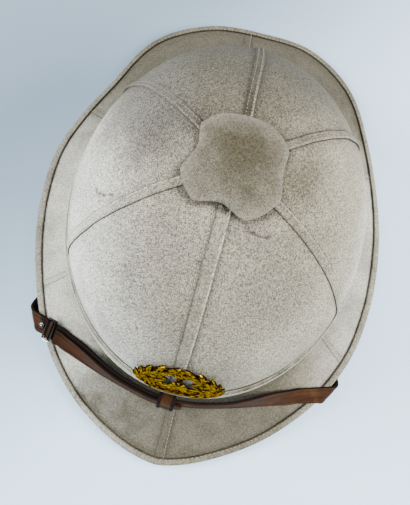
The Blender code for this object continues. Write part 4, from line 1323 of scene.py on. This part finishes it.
def foldPoint(side, turn, inward, sideways, cover):
    edge = radiusOf(edgeFrame(turn, side)[0])
    flat = max(min(inward, strapSizes["topRun"]), -strapSizes["topRun"] * 4)
    gather = edge / (edge - 0.8 * abs(flat))
    near = turn + side * sideways * gather / edge
    key = (side, round(near, 4), round(cover, 6))
    if key not in profiles:
        profiles[key] = strapProfile(key[1], side, cover)
    return alongChain(profiles[key], strapSizes["topRun"] - inward)


def hugRadius(turn):
    return bandReach(turn) + gap + keeperSizes["wall"] + keeperSizes["loose"]


def hugAcross(turn):
    lean = math.atan2(bandSizes["step"] * bandSizes["pleats"] + bandSizes["roll"], bandTop() - bandFoot(turn))
    back = (crownCentre - placeAt(turn, 1.0, 0.0)).normalized()
    return (back * math.sin(lean) + upwards * math.cos(lean)).normalized()


def brimNormal(point):
    slopes = []
    for shift in (Vector((0.001, 0, 0)), Vector((0, 0.001, 0))):
        ahead, behind = point + shift, point - shift
        slopes.append((brimHeight(bearingOf(ahead), radiusOf(ahead))
                       - brimHeight(bearingOf(behind), radiusOf(behind))) / 0.002)
    return Vector((-slopes[0], -slopes[1], 1.0)).normalized()


def keeperCover(side, fromEdge):
    if side > 0:
        return strapSizes["cover"]
    before = fromEdge - keeperSizes["sideFromEdge"] - keeperSizes["sideLength"]
    room = keeperSizes["wall"] + keeperSizes["loose"]
    return strapSizes["cover"] + room * (1 - smoothStep(before / strapSizes["ease"]))


def tangentTurn(side, end):
    widest, best = -1.0, 0.0
    for step in range(181):
        turn = side * math.radians(step / 4)
        way, inwards = placeAt(turn, hugRadius(turn), 0.0) - end, crownCentre - end
        angle = math.atan2(side * (inwards.x * way.y - inwards.y * way.x), inwards.dot(way))
        if angle > widest:
            widest, best = angle, turn
    return best


def strapHalf(side):
    turn, angle = side * math.radians(strapSizes["bearing"]), math.radians(strapSizes["firstAngle"])
    width, topRun = strapSizes["width"], strapSizes["topRun"]
    for _ in range(4):
        inward = topRun - width / 2 * math.sin(angle)
        sideways = -topRun * math.tan(angle) - width / 2 * math.cos(angle)
        end = foldPoint(side, turn, inward, sideways, strapSizes["cover"])
        flatEnd = Vector((end.x, end.y, 0.0))
        leave = tangentTurn(side, flatEnd)
        start = placeAt(leave, hugRadius(leave), 0.0)
        run = (flatEnd - start).normalized()
        _, along, outwards = edgeFrame(turn, side)
        angle = math.atan2(run.dot(along), run.dot(outwards))

    hugSteps, straightSteps = strapSizes["hugSteps"], strapSizes["straightSteps"]
    hugTurns = [leave * step / hugSteps for step in range(hugSteps)]
    lows = [placeAt(hugTurn, hugRadius(hugTurn), 0.0) for hugTurn in hugTurns]
    lows += [start.lerp(flatEnd, step / straightSteps) for step in range(straightSteps)]
    stations, distance = [], 0.0
    thick = gap + tapeSizes["wall"] + strapSizes["cover"]
    for index, low in enumerate(lows):
        progress = max(index - hugSteps, 0) / straightSteps
        if index:
            distance += (low - lows[index - 1]).length
        normal = brimNormal(low)
        ahead = lows[index + 1] if index + 1 < len(lows) else flatEnd
        run = ahead - low
        run = (run - normal * run.dot(normal)).normalized()
        settled = smoothStep((progress - 0.15) / 0.85)
        across = hugAcross(bearingOf(low)).lerp(normal.cross(run) * side, settled).normalized()
        lift = strapSizes["lift"] + (thick - strapSizes["lift"]) * smoothStep(progress)
        base = Vector((low.x, low.y, brimHeight(bearingOf(low), radiusOf(low)))) + normal * lift
        stations.append(Station(side * distance, *(base + across * width * share for share in (0.0, 0.5, 1.0))))
    distance += (flatEnd - lows[-1]).length

    inward, sideways = topRun, -topRun * math.tan(angle)
    edgeDistance = distance + topRun / math.cos(angle)
    edgeCover = keeperCover(side, 0.0)
    bend = math.pi * (brimSizes["wall"] / 2 + gap + tapeSizes["wall"] + edgeCover)
    endRun = runningLengths(strapProfile(turn + side * 0.35, side, edgeCover))[-1]
    step = strapSizes["edgeStep"]
    while topRun - inward < endRun:
        now = angle * (1 - smoothStep((-inward - bend) / (endRun * 0.45)))
        skew = smoothStep(1 - (inward - 0.002) / (topRun - 0.002))
        cover = keeperCover(side, edgeDistance - distance)
        points = []
        for share in (0.0, 0.5, 1.0):
            off = (share - 0.5) * width
            deep = inward + off * math.sin(now) * (1 - skew)
            aside = sideways + off * (math.cos(now) + skew * math.sin(now) * math.tan(now))
            points.append(foldPoint(side, turn, deep, aside, cover))
        stations.append(Station(side * distance, *points))
        distance += step
        inward -= step * math.cos(now)
        sideways += step * math.sin(now)
    return stations, side * edgeDistance


def stationAt(stations, distance):
    for first, second in zip(stations, stations[1:]):
        if first.distance <= distance <= second.distance:
            part = (distance - first.distance) / (second.distance - first.distance)
            return Station(distance, *(a.lerp(b, part) for a, b in zip(first[1:], second[1:])))
    return stations[-1]


def strapAxes(stations, distance):
    # the strap's lower edge at a distance, and its directions along, across and away from the hat
    here = stationAt(stations, distance)
    ahead, behind = stationAt(stations, distance + 0.002), stationAt(stations, distance - 0.002)
    along = (ahead.middle - behind.middle).normalized()
    across = here.high - here.low
    across = (across - along * across.dot(along)).normalized()
    return here.middle - across * strapSizes["width"] / 2, along, across, along.cross(across)


def smoothed(stations, rounds):
    for _ in range(rounds):
        softer = [stations[0]]
        for before, here, after in zip(stations, stations[1:], stations[2:]):
            points = (b.lerp((a + c) / 2, 0.5) for a, b, c in zip(before[1:], here[1:], after[1:]))
            softer.append(Station(here.distance, *points))
        stations = softer + [stations[-1]]
    return stations


# the strip's section: how far across it each point lies, and how far through its thickness
strapShares = [0.02, 0.0, 0.0, 0.02, 0.07, 0.13, 0.20, 0.32, 0.5, 0.68, 0.80, 0.87, 0.93, 0.98, 1.0, 1.0, 0.98]
strapRises = [0.0, 0.16, 0.80, 0.97, 1.02, 1.0, 0.90, 1.0, 1.04, 1.0, 0.90, 1.0, 1.02, 0.97, 0.80, 0.16, 0.0]


def makeStrip(name, frames, width, thick, material, darkening, tapered=False):
    # a leather strip: frames hold (inner face point at the lower edge, across, face, width), and
    # its section has rounded edges and a creased line along each
    columns = []
    last, taperFrames = len(frames) - 1, 8
    for i, (low, across, face, wide) in enumerate(frames):
        narrow = 1.0
        if tapered and last - i < taperFrames:
            narrow = math.sqrt(max(1 - ((taperFrames - (last - i)) / 8.6) ** 2, 0.0)) * 0.5 + 0.5
        column = []
        for share, rise in zip(strapShares, strapRises):
            spread = (0.5 + (share - 0.5) * narrow) * wide
            column.append(low + across * spread + face * thick * rise)
        columns.append(column[::-1])
    runs, shares = runningLengths([frame[0] for frame in frames]), strapShares[::-1]

    def uv(i, j, faceColumn):
        return shares[j % len(shares)] * width, runs[i]

    def wearAndShade(i, j):
        share = shares[j]
        edge = min(share, 1 - share)
        rub = noise.noise(Vector((runs[i] * 60.0, share * 2.0, 2.0))) * 0.15
        groove = 0.35 * math.exp(-((edge - 0.2) / 0.035) ** 2)
        return min(max(math.exp(-(edge / 0.035) ** 2) * 0.80 + groove + rub + darkening(i), 0.0), 1.0)

    return makePiece(name, columns, False, material, 60.0, uv, wearAndShade, caps=True)


def makeChinStrap(stations, edgeDistance, material):
    frames = []
    for index, station in enumerate(stations):
        before, after = stations[max(index - 1, 0)], stations[min(index + 1, len(stations) - 1)]
        along = (after.middle - before.middle).normalized()
        wide = station.high - station.low
        face = along.cross(wide).normalized()
        frames.append((station.low, wide.normalized(), face, wide.length))

    def darkening(i):
        # darker where the loose end lies over it, painted shade on the part that shows above the loose end; and
        # darker round the brim's edge on that side
        distance = stations[i].distance
        covered = min(keeperSizes["frontPlace"] - distance, distance - edgeDistance)
        folded = edgeDistance + 0.004 - distance
        return 0.8 * smoothStep(covered / 0.004) + 0.30 * smoothStep(folded / 0.006)

    piece = makeStrip("chinStrap", frames, strapSizes["width"], strapSizes["wall"], material, darkening)
    return settle(piece, "chin_strap", slot="brown_leather")


def makeStrapTail(stations, edgeDistance, material):
    buckleEnd = buckleSizes["length"] / 2 + buckleSizes["wire"] + keeperSizes["loose"]
    first = edgeDistance + keeperSizes["sideFromEdge"] + buckleEnd
    last = keeperSizes["frontPlace"] + keeperSizes["frontLength"] / 2 + strapSizes["tailPastKeeper"]
    count = strapSizes["tailSteps"]
    frames = []
    for step in range(count + 1):
        low, along, across, face = strapAxes(stations, first + (last - first) * step / count)
        base = low + face * (strapSizes["wall"] + gap) - across * strapSizes["tailDrop"]
        frames.append((base, across, face, strapSizes["tailWidth"]))

    def darkening(i):
        return 0.40 * smoothStep(1 - i / 34)

    piece = makeStrip("strapTail", frames, strapSizes["tailWidth"], strapSizes["tailWall"], material, darkening, True)
    return settle(piece, "strap_tail", slot="brown_leather")


def makeLoop(name, axes, length, lowEdge, highEdge, depth, material, node):
    # a leather loop round the strap, with raised borders along both its edges
    low, along, across, face = axes
    wall, loose = keeperSizes["wall"], keeperSizes["loose"]
    width, height = highEdge - lowEdge + 2 * loose, depth + 2 * loose
    middle = low + across * (lowEdge + highEdge) / 2 + face * depth / 2
    profile = [(-0.5, 0.0), (-0.5, 0.75), (-0.45, 1.05), (-0.37, 1.12), (-0.30, 1.0), (-0.27, 0.62), (-0.20, 0.58),
               (0.0, 0.66), (0.20, 0.58), (0.27, 0.62), (0.30, 1.0), (0.37, 1.12), (0.45, 1.05), (0.5, 0.75), (0.5, 0.0)]
    arcSteps, inset = 5, 0.0002
    columns = []
    for signX, signY, start in loopCorners:
        x, y = signX * (width / 2 - inset), signY * (height / 2 - inset)
        for step in range(arcSteps):
            angle = math.radians(start + 90 * step / (arcSteps - 1))
            column = []
            for end, rise in profile:
                reach = inset + wall * rise
                column.append(middle + across * (x + math.cos(angle) * reach)
                              + face * (y + math.sin(angle) * reach) + along * length * end)
            columns.append(column)

    def uv(i, j, faceColumn):
        return profile[j % len(profile)][0] * length, 0.0015 * i

    def wearAndShade(i, j):
        end = abs(profile[j % len(profile)][0])
        return 1.0 if end > 0.36 else 0.75 if end > 0.28 else 0.35 if end > 0.22 else 0.0

    piece = makePiece(name, columns, True, material, 60.0, uv, wearAndShade)
    turnFacesOut(piece)
    return settle(piece, node, slot="brown_leather")


def makeBuckle(axes, material):
    low, along, across, face = axes
    wire, loose = buckleSizes["wire"], keeperSizes["loose"]
    halfLong = strapSizes["width"] / 2 + loose + keeperSizes["wall"] + loose + wire / 2
    halfShort = keeperSizes["sideLength"] / 2 + loose + wire / 2
    centre = low + across * strapSizes["width"] / 2 + face * (strapSizes["wall"] + gap + wire / 2)
    curve = bpy.data.curves.new("strapBuckle", "CURVE")
    curve.dimensions = "3D"
    curve.bevel_depth = wire / 2
    curve.bevel_resolution = 4
    points = []
    for signX, signY, start in loopCorners:
        for step in range(6):
            angle = math.radians(start + 18 * step)
            points.append(centre + across * (signX * (halfLong - wire) + wire * math.cos(angle))
                          + along * (signY * (halfShort - wire) + wire * math.sin(angle)))
    spline = curve.splines.new("POLY")
    spline.points.add(len(points) - 1)
    for slotPoint, point in zip(spline.points, points):
        slotPoint.co = (*point, 1.0)
    spline.use_cyclic_u = True
    piece = bakedCopy(addObject("strapBuckleWire", curve, material), "strapBuckle")
    piece.data.shade_smooth()
    # dark all over but for the end below the strap
    places = [(vertex.co - centre).dot(across) / halfLong for vertex in piece.data.vertices]
    storeOnPoints(piece.data, "wearAndShade", (smoothStep((place + 0.95) / 0.14) for place in places))
    return settle(piece, "strap_buckle", slot="nickel")


def makeStud(stations, edgeDistance, material):
    low, along, across, face = strapAxes(stations, edgeDistance + studSizes["fromEdge"])
    radius, height, count = studSizes["radius"], studSizes["height"], studSizes["columns"]
    spot = low + across * strapSizes["width"] / 2 + face * (strapSizes["wall"] + 1.3 * gap)
    section = [(0.0, 0.98), (0.20, 0.94), (0.34, 0.80), (0.40, 0.45), (0.52, 0.32), (0.70, 0.34), (0.78, 0.62),
               (0.90, 0.60), (1.0, 0.36), (1.0, 0.0), (0.0, 0.0)]
    columns = []
    for step in range(count):
        angle = turnAt(step, count)
        around = along * math.cos(angle) + across * math.sin(angle)
        columns.append([spot + around * radius * out + face * height * rise for out, rise in section])

    def wearAndShade(i, j):
        return 0.0 if j < 2 else 0.72 if 6 <= j <= 7 else 1.0

    piece = makePiece("strapStud", columns, True, material, 50.0, None, wearAndShade)
    weld(piece)
    return settle(piece, "strap_stud", slot="nickel")


print("strap shapes ready")


# Badge: a laurel wreath with a bar, a rosette over a fan of leaves and a blank scroll. Its parts
# are columns of flat points with how deep each lies, and are bent to the crown when joined.

badgeSizes = {
    "width": 0.054,
    "height": 0.040,
    "lift": 0.0018,
    "wall": 0.0011,
    "ring": 0.0042,
    "ringSteps": 140,
    "leafLength": 0.0086,
    "leafWidth": 0.0036,
    "leafThickness": 0.0026,
    "leafSteps": 11,
    "leavesPerSide": 9,
    "firstLeaf": 24.0,    # degrees from the foot of the wreath
    "leafSpread": 146.0,
    "fanLeaves": 9,
    "fanStep": 20.0,
    "rosetteSteps": 64,
    "scrollLength": 0.034,
    "scrollHeight": 0.0068,
    "scrollWall": 0.0016,
}


def badgeSpot(point):
    across, up, out = point
    height = bandTop() + badgeSizes["lift"] + up
    front = crownRadius(0.0)
    radius = front * crownShare(height)
    slope = math.atan2(front * crownShare(height - 0.001) - radius, 0.001)
    turn = across / radius
    reach = crownRadius(turn) * crownShare(height) + seamSizes["wall"] + 3 * gap + out * math.cos(slope)
    return placeAt(turn, reach, height + out * math.sin(slope))


def wreathPoint(angle, out=0.0):
    halfX = badgeSizes["width"] / 2 - 0.42 * badgeSizes["leafLength"] + out
    halfY = badgeSizes["height"] / 2 - 0.42 * badgeSizes["leafLength"] + out
    sag = 0.10 * badgeSizes["height"] * math.sin(angle) ** 2
    return Vector((halfX * math.sin(angle), badgeSizes["height"] / 2 - halfY * math.cos(angle) - sag, 0.0))


def leafColumns(middle, heading, length, width, thick, base):
    # a laurel leaf: domed, with a groove along its rib and slanted veins
    heading = heading.normalized()
    across = Vector((heading.y, -heading.x, 0.0))
    shares = (-1.0, -0.82, -0.55, -0.28, -0.09, 0.0, 0.09, 0.28, 0.55, 0.82, 1.0)
    columns, depths = [], []
    steps = badgeSizes["leafSteps"]
    for step in range(steps + 1):
        part = step / steps
        half = width / 2 * (0.10 + 0.90 * math.sin(math.pi * part ** 0.82) ** 0.75)
        spine = middle + heading * length * (part - 0.5)
        full = thick * (0.30 + 0.70 * math.sin(math.pi * min(max(part, 0.04), 0.96)) ** 0.6)
        column, depth = [], []
        for share in shares:
            rib = math.exp(-(share / 0.11) ** 2)
            vein = 0.5 + 0.5 * math.sin(26.0 * part + 5.0 * abs(share))
            rise = full * (0.36 + 0.64 * (1 - share ** 2) - 0.30 * rib - 0.08 * vein * (1 - rib))
            column.append(spine + across * half * share + Vector((0, 0, base + rise)))
            depth.append(min(1.0, 0.9 * rib + 1.0 * abs(share) ** 4 + 0.30 * vein))
        column += [spine + across * half * share + Vector((0, 0, base)) for share in (0.96, -0.96)]
        columns.append(column)
        depths.append(depth + [1.0, 1.0])
    return columns, depths, False


def ringColumns():
    columns, depths = [], []
    steps, half = badgeSizes["ringSteps"], badgeSizes["ring"] / 2
    for step in range(steps):
        angle = turnAt(step, steps)
        middle = wreathPoint(angle)
        heading = (wreathPoint(angle + 0.02) - wreathPoint(angle - 0.02)).normalized()
        across = Vector((heading.y, -heading.x, 0.0))
        column, depth = [], []
        for share in (-1.0, -0.8, -0.4, 0.0, 0.4, 0.8, 1.0):
            twist = math.sin(step * 1.35 + share * 2.2)
            rise = badgeSizes["wall"] * (0.55 + 0.30 * (1 - share ** 2) + 0.14 * twist)
            column.append(middle + across * half * share + Vector((0, 0, rise)))
            depth.append(min(max(0.55 - 0.4 * twist, 0.0), 1.0))
        column += [middle + across * half, middle - across * half]
        columns.append(column)
        depths.append(depth + [1.0, 1.0])
    return columns, depths, True


def plateColumns(middle, length, height, base, shape, shares, steps):
    # a plate along the across direction; shape gives (rise, shift up, depth) for a place on it
    columns, depths = [], []
    for step in range(steps + 1):
        place = 2 * step / steps - 1
        column, depth = [], []
        for share in shares:
            rise, shift, dark = shape(place, share)
            column.append(middle + Vector((length / 2 * place, -height / 2 * share + shift, base + rise)))
            depth.append(dark)
        for share in (shares[-1], shares[0]):
            shift = shape(place, share)[1]
            column.append(middle + Vector((length / 2 * place, -height / 2 * share + shift, base)))
            depth.append(1.0)
        columns.append(column)
        depths.append(depth)
    return columns, depths, False


def scrollColumns():
    wall, height = badgeSizes["scrollWall"], badgeSizes["scrollHeight"]

    def shape(place, share):
        rolled = math.exp(-((abs(place) - 0.90) / 0.07) ** 2)
        border = math.exp(-((abs(share) - 0.86) / 0.09) ** 2)
        rise = wall * (0.42 + 0.42 * rolled + 0.14 * border * (1 - rolled))
        fold = math.exp(-((abs(place) - 0.74) / 0.035) ** 2)
        return rise, -0.0007 * place ** 2 + 0.0007, min(1.0, 0.25 + 0.75 * fold + 0.5 * (0.6 - border) * 0.4)

    shares = (-1.0, -0.94, -0.86, -0.76, -0.5, 0.0, 0.5, 0.76, 0.86, 0.94, 1.0)
    middle = Vector((0.0, 0.62 * height, 0.0))
    return plateColumns(middle, badgeSizes["scrollLength"], height, badgeSizes["wall"] * 0.9, shape, shares, 60)


def barColumns():
    wall, height = badgeSizes["wall"], badgeSizes["height"] - 0.9 * badgeSizes["leafLength"]

    def shape(place, share):
        ridge = math.exp(-(place / 0.45) ** 2)
        bead = 0.5 + 0.5 * math.cos(40.0 * share)
        return wall * (0.55 + 0.30 * ridge + 0.15 * bead), 0.0, 0.75 - 0.6 * ridge * bead

    shares = [step / 20 - 1 for step in range(41)]
    middle = Vector((0.0, badgeSizes["height"] / 2, 0.0))
    return plateColumns(middle, 0.8 * badgeSizes["ring"], height, wall * 0.07, shape, shares, 8)


def rosetteColumns():
    # eight petals round a button
    middle = Vector((0.0, 0.55 * badgeSizes["height"], 0.0))
    radius, depth = 1.15 * badgeSizes["ring"], 1.4 * badgeSizes["wall"]
    columns, depths = [], []
    steps = badgeSizes["rosetteSteps"]
    for step in range(steps):
        angle = turnAt(step, steps)
        way = Vector((math.cos(angle), math.sin(angle), 0.0))
        petal = abs(math.cos(4 * angle))
        column, dark = [], []
        for share in (0.0, 0.12, 0.24, 0.31, 0.36, 0.46, 0.62, 0.78, 0.92, 1.0):
            reach = radius * share * (1.0 if share < 0.35 else 0.82 + 0.18 * petal ** 0.5)
            if share < 0.33:
                rise = depth * (1.0 - 1.6 * share ** 2)
                shade = 0.1 + 2.4 * max(share - 0.2, 0.0)
            else:
                rise = depth * (0.40 + 0.38 * petal * math.sin(math.pi * min(share * 1.05, 1.0)))
                shade = min(1.0, 1.15 - 1.1 * petal + (0.5 if share < 0.4 else 0.0))
            column.append(middle + way * reach + upwards * (0.2 * depth + rise))
            dark.append(max(min(shade, 1.0), 0.0))
        column.append(middle + way * 0.85 * radius + upwards * 0.1 * depth)
        column.append(middle + upwards * 0.1 * depth)
        columns.append(column)
        depths.append(dark + [1.0, 1.0])
    return columns, depths, True


def joinParts(name, parts, material, smoothDegrees):
    verts, faces, depths = [], [], []
    for columns, values, closed in parts:
        first, loop, count = len(verts), len(columns[0]), len(columns)
        for column, row in zip(columns, values):
            verts += [badgeSpot(point) for point in column]
            depths += row
        faces += [[first + i % count * loop + j % loop for i, j in face]
                  for face in gridCorners(count, loop, closed, not closed)]
    mesh = bpy.data.meshes.new(name)
    mesh.from_pydata(verts, [], faces)
    storeOnPoints(mesh, "wearAndShade", depths)
    piece = addObject(name, mesh, material)
    weld(piece)
    smoothShade(mesh, smoothDegrees)
    return piece


def makeBadge(material):
    length, width, thick = badgeSizes["leafLength"], badgeSizes["leafWidth"], badgeSizes["leafThickness"]
    ring, wall = badgeSizes["ring"], badgeSizes["wall"]
    parts = [ringColumns(), barColumns(), scrollColumns(), rosetteColumns()]
    perSide, firstLeaf, spread = badgeSizes["leavesPerSide"], badgeSizes["firstLeaf"], badgeSizes["leafSpread"]
    for side in (-1, 1):
        for index in range(perSide):
            angle = side * math.radians(firstLeaf + spread * index / (perSide - 1))
            heading = wreathPoint(angle + side * 0.05) - wreathPoint(angle)
            for lean, out, lift in ((0.5, 0.45 * ring, 0.0003), (-0.5, -0.35 * ring, 0.0001)):
                turned = Matrix.Rotation(-side * lean, 3, "Z") @ heading
                parts.append(leafColumns(wreathPoint(angle, out), turned, length, width, thick * 0.80, lift))
            # inner rows make the sides into bunches, and a smaller leaf lies on each pair
            for inset, lean, share in ((1.15, -0.9, 0.92), (2.05, -0.35, 0.80)):
                if 1 < index < perSide - (1 if inset < 1.5 else 2):
                    middle = wreathPoint(angle * 0.97, -inset * ring)
                    turned = Matrix.Rotation(-side * lean * (1 if index % 2 else 0.5), 3, "Z") @ heading
                    parts.append(leafColumns(middle, turned, share * length, share * width, thick * 0.55,
                                             0.0003 + 0.0002 * (index % 3)))
            between = side * math.radians(firstLeaf + spread * (index + 0.45) / (perSide - 1))
            if index < perSide - 1:
                parts.append(leafColumns(wreathPoint(between), heading, 0.72 * length, 0.62 * width, thick * 0.42,
                                         wall * 1.25))
    boss = Vector((0.0, 0.54 * badgeSizes["height"], 0.0))
    for step in range(badgeSizes["fanLeaves"]):
        way = outwardAt(math.radians(badgeSizes["fanStep"] * (step - badgeSizes["fanLeaves"] // 2)))
        parts.append(leafColumns(boss + way * 1.05 * length, way, 1.45 * length, 0.95 * width,
                                 thick * 0.45, wall * 0.4))
    piece = joinParts("badge", parts, material, 60.0)
    return settle(piece, "badge", slot="gilt_brass")


print("badge shapes ready")


# The whole helmet

def buildHelmet():
    makeCrown(clothMaterial("crown cloth", "crown", crownMarks, crownStainsAndShade, 0.55))
    seamCloth = clothMaterial("seam cloth", "seam", softClouds=crownStainsAndShade, weaveDepth=0.6)
    brimSeamCloth = clothMaterial("brim seam cloth", "brim", weaveDepth=0.6)
    crownLines, brimLines = [], []
    for seam in seams:
        crownLines += makeCrownSeam(seam, seamCloth)
        brimLines.append(makeBrimSeam(seam, brimSeamCloth))
    print("crown and seams built")
    makeBrim(clothMaterial("brim cloth", "brim", brimMarks, weaveDepth=0.55))
    tapeLine = makeEdgeTape(clothMaterial("edge tape", "tape", weaveDepth=0.7))
    makeHatBand(clothMaterial("band cloth", "band"))
    makeVentCap(clothMaterial("cap cloth", "cap", softClouds=capStains))
    post = frame["nodes"]["vent_post"]
    post.data.materials.clear()
    post.data.materials.append(metalMaterial("zinc"))
    print("brim, tape, band, cap and post built")
    tree = stitchTree("pale stitches", threadMaterial("pale thread"))
    for part, lines, slot in (("crown", crownLines, "seam_cloth"), ("brim", brimLines, "seam_cloth"),
                              ("edge", [tapeLine], "edge_tape")):
        settle(stitchAlong(part + "Stitches", lines, tree, stitchSizes[part]), slot=slot)
    print("stitches laid")

    leather = leatherMaterial("brown leather")
    darkLeather = leatherMaterial("dark leather", leatherFinish["keeperShade"])
    nickel = metalMaterial("nickel")
    right, rightEdge = strapHalf(-1)
    left, _ = strapHalf(1)
    stations = smoothed(right[::-1] + left[1:], 2)
    makeChinStrap(stations, rightEdge, leather)
    makeStrapTail(stations, rightEdge, leather)
    width, wall = strapSizes["width"], strapSizes["wall"]
    frontAxes = strapAxes(stations, keeperSizes["frontPlace"])
    sideAxes = strapAxes(stations, rightEdge + keeperSizes["sideFromEdge"])
    makeLoop("frontKeeper", frontAxes, keeperSizes["frontLength"], -strapSizes["tailDrop"], width,
             wall + gap + strapSizes["tailWall"], leather, "front_keeper")
    makeLoop("sideKeeper", sideAxes, keeperSizes["sideLength"], 0.0, width, wall, darkLeather, "side_keeper")
    makeBuckle(sideAxes, nickel)
    makeStud(stations, rightEdge, nickel)
    print("strap, keepers, buckle and stud built")
    makeBadge(gildingMaterial("gilt brass"))
    print("badge built")


# Studio: a pale floor, three soft lights and the camera

lampSizes = [
    {"name": "left", "place": (-0.95, -0.12, 0.66), "aim": (0.0, 0.0, 0.06), "size": 0.70, "power": 27.0,
     "colour": (0.98, 0.99, 1.0)},
    {"name": "right", "place": (0.95, -0.02, 0.62), "aim": (0.0, 0.0, 0.06), "size": 0.70, "power": 30.0,
     "colour": (1.0, 0.965, 0.90)},
    {"name": "top", "place": (-0.05, -0.20, 1.20), "aim": (0.0, 0.0, 0.05), "size": 0.80, "power": 8.0,
     "colour": (1.0, 0.99, 0.98)},
]

skyLight = {"Color": (0.80, 0.87, 0.95, 1.0), "Strength": 1.0}

cameraView = {
    "place": (-0.0097, -0.1168, 0.4387),
    "right": (0.9699, 0.2316, 0.0753),
    "up": (-0.24253, 0.94662, 0.21233),
    "ahead": (0.02206, 0.22419, -0.97430),
    "sensor": 36.0,         # millimetres along the frame's longer side
    "focalPixels": 612.9,
    "framePixels": 505.0,   # the frame's height
}


def softLight(lampSize):
    lamp = bpy.data.lights.new(lampSize["name"], "AREA")
    lamp.shape = "DISK"
    lamp.size = lampSize["size"]
    lamp.energy = lampSize["power"]
    lamp.color = lampSize["colour"]
    holder = addObject(lampSize["name"], lamp)
    place, aim = Vector(lampSize["place"]), Vector(lampSize["aim"])
    holder.location = place
    holder.rotation_euler = (aim - place).to_track_quat("-Z", "Y").to_euler()


def buildStudio():
    mesh = bpy.data.meshes.new("studioFloor")
    reach = 2
    mesh.from_pydata([(-reach, -reach, 0), (reach, -reach, 0), (reach, reach, 0), (-reach, reach, 0)], [],
                     [(0, 1, 2, 3)])
    floor = addObject("studioFloor", mesh, floorMaterial())
    for lampSize in lampSizes:
        softLight(lampSize)
    world = bpy.data.worlds.new("studio")
    world.use_nodes = True
    for name, value in skyLight.items():
        world.node_tree.nodes["Background"].inputs[name].default_value = value
    bpy.context.scene.world = world

    lens = bpy.data.cameras.new("camera")
    lens.sensor_width = cameraView["sensor"]
    lens.lens = cameraView["sensor"] * cameraView["focalPixels"] / cameraView["framePixels"]
    camera = addObject("camera", lens)
    right, up, ahead = (Vector(cameraView[name]) for name in ("right", "up", "ahead"))
    turned = Matrix((right, up, -ahead)).transposed().to_4x4()
    camera.matrix_world = Matrix.Translation(cameraView["place"]) @ turned
    bpy.context.scene.camera = camera


buildHelmet()
buildStudio()
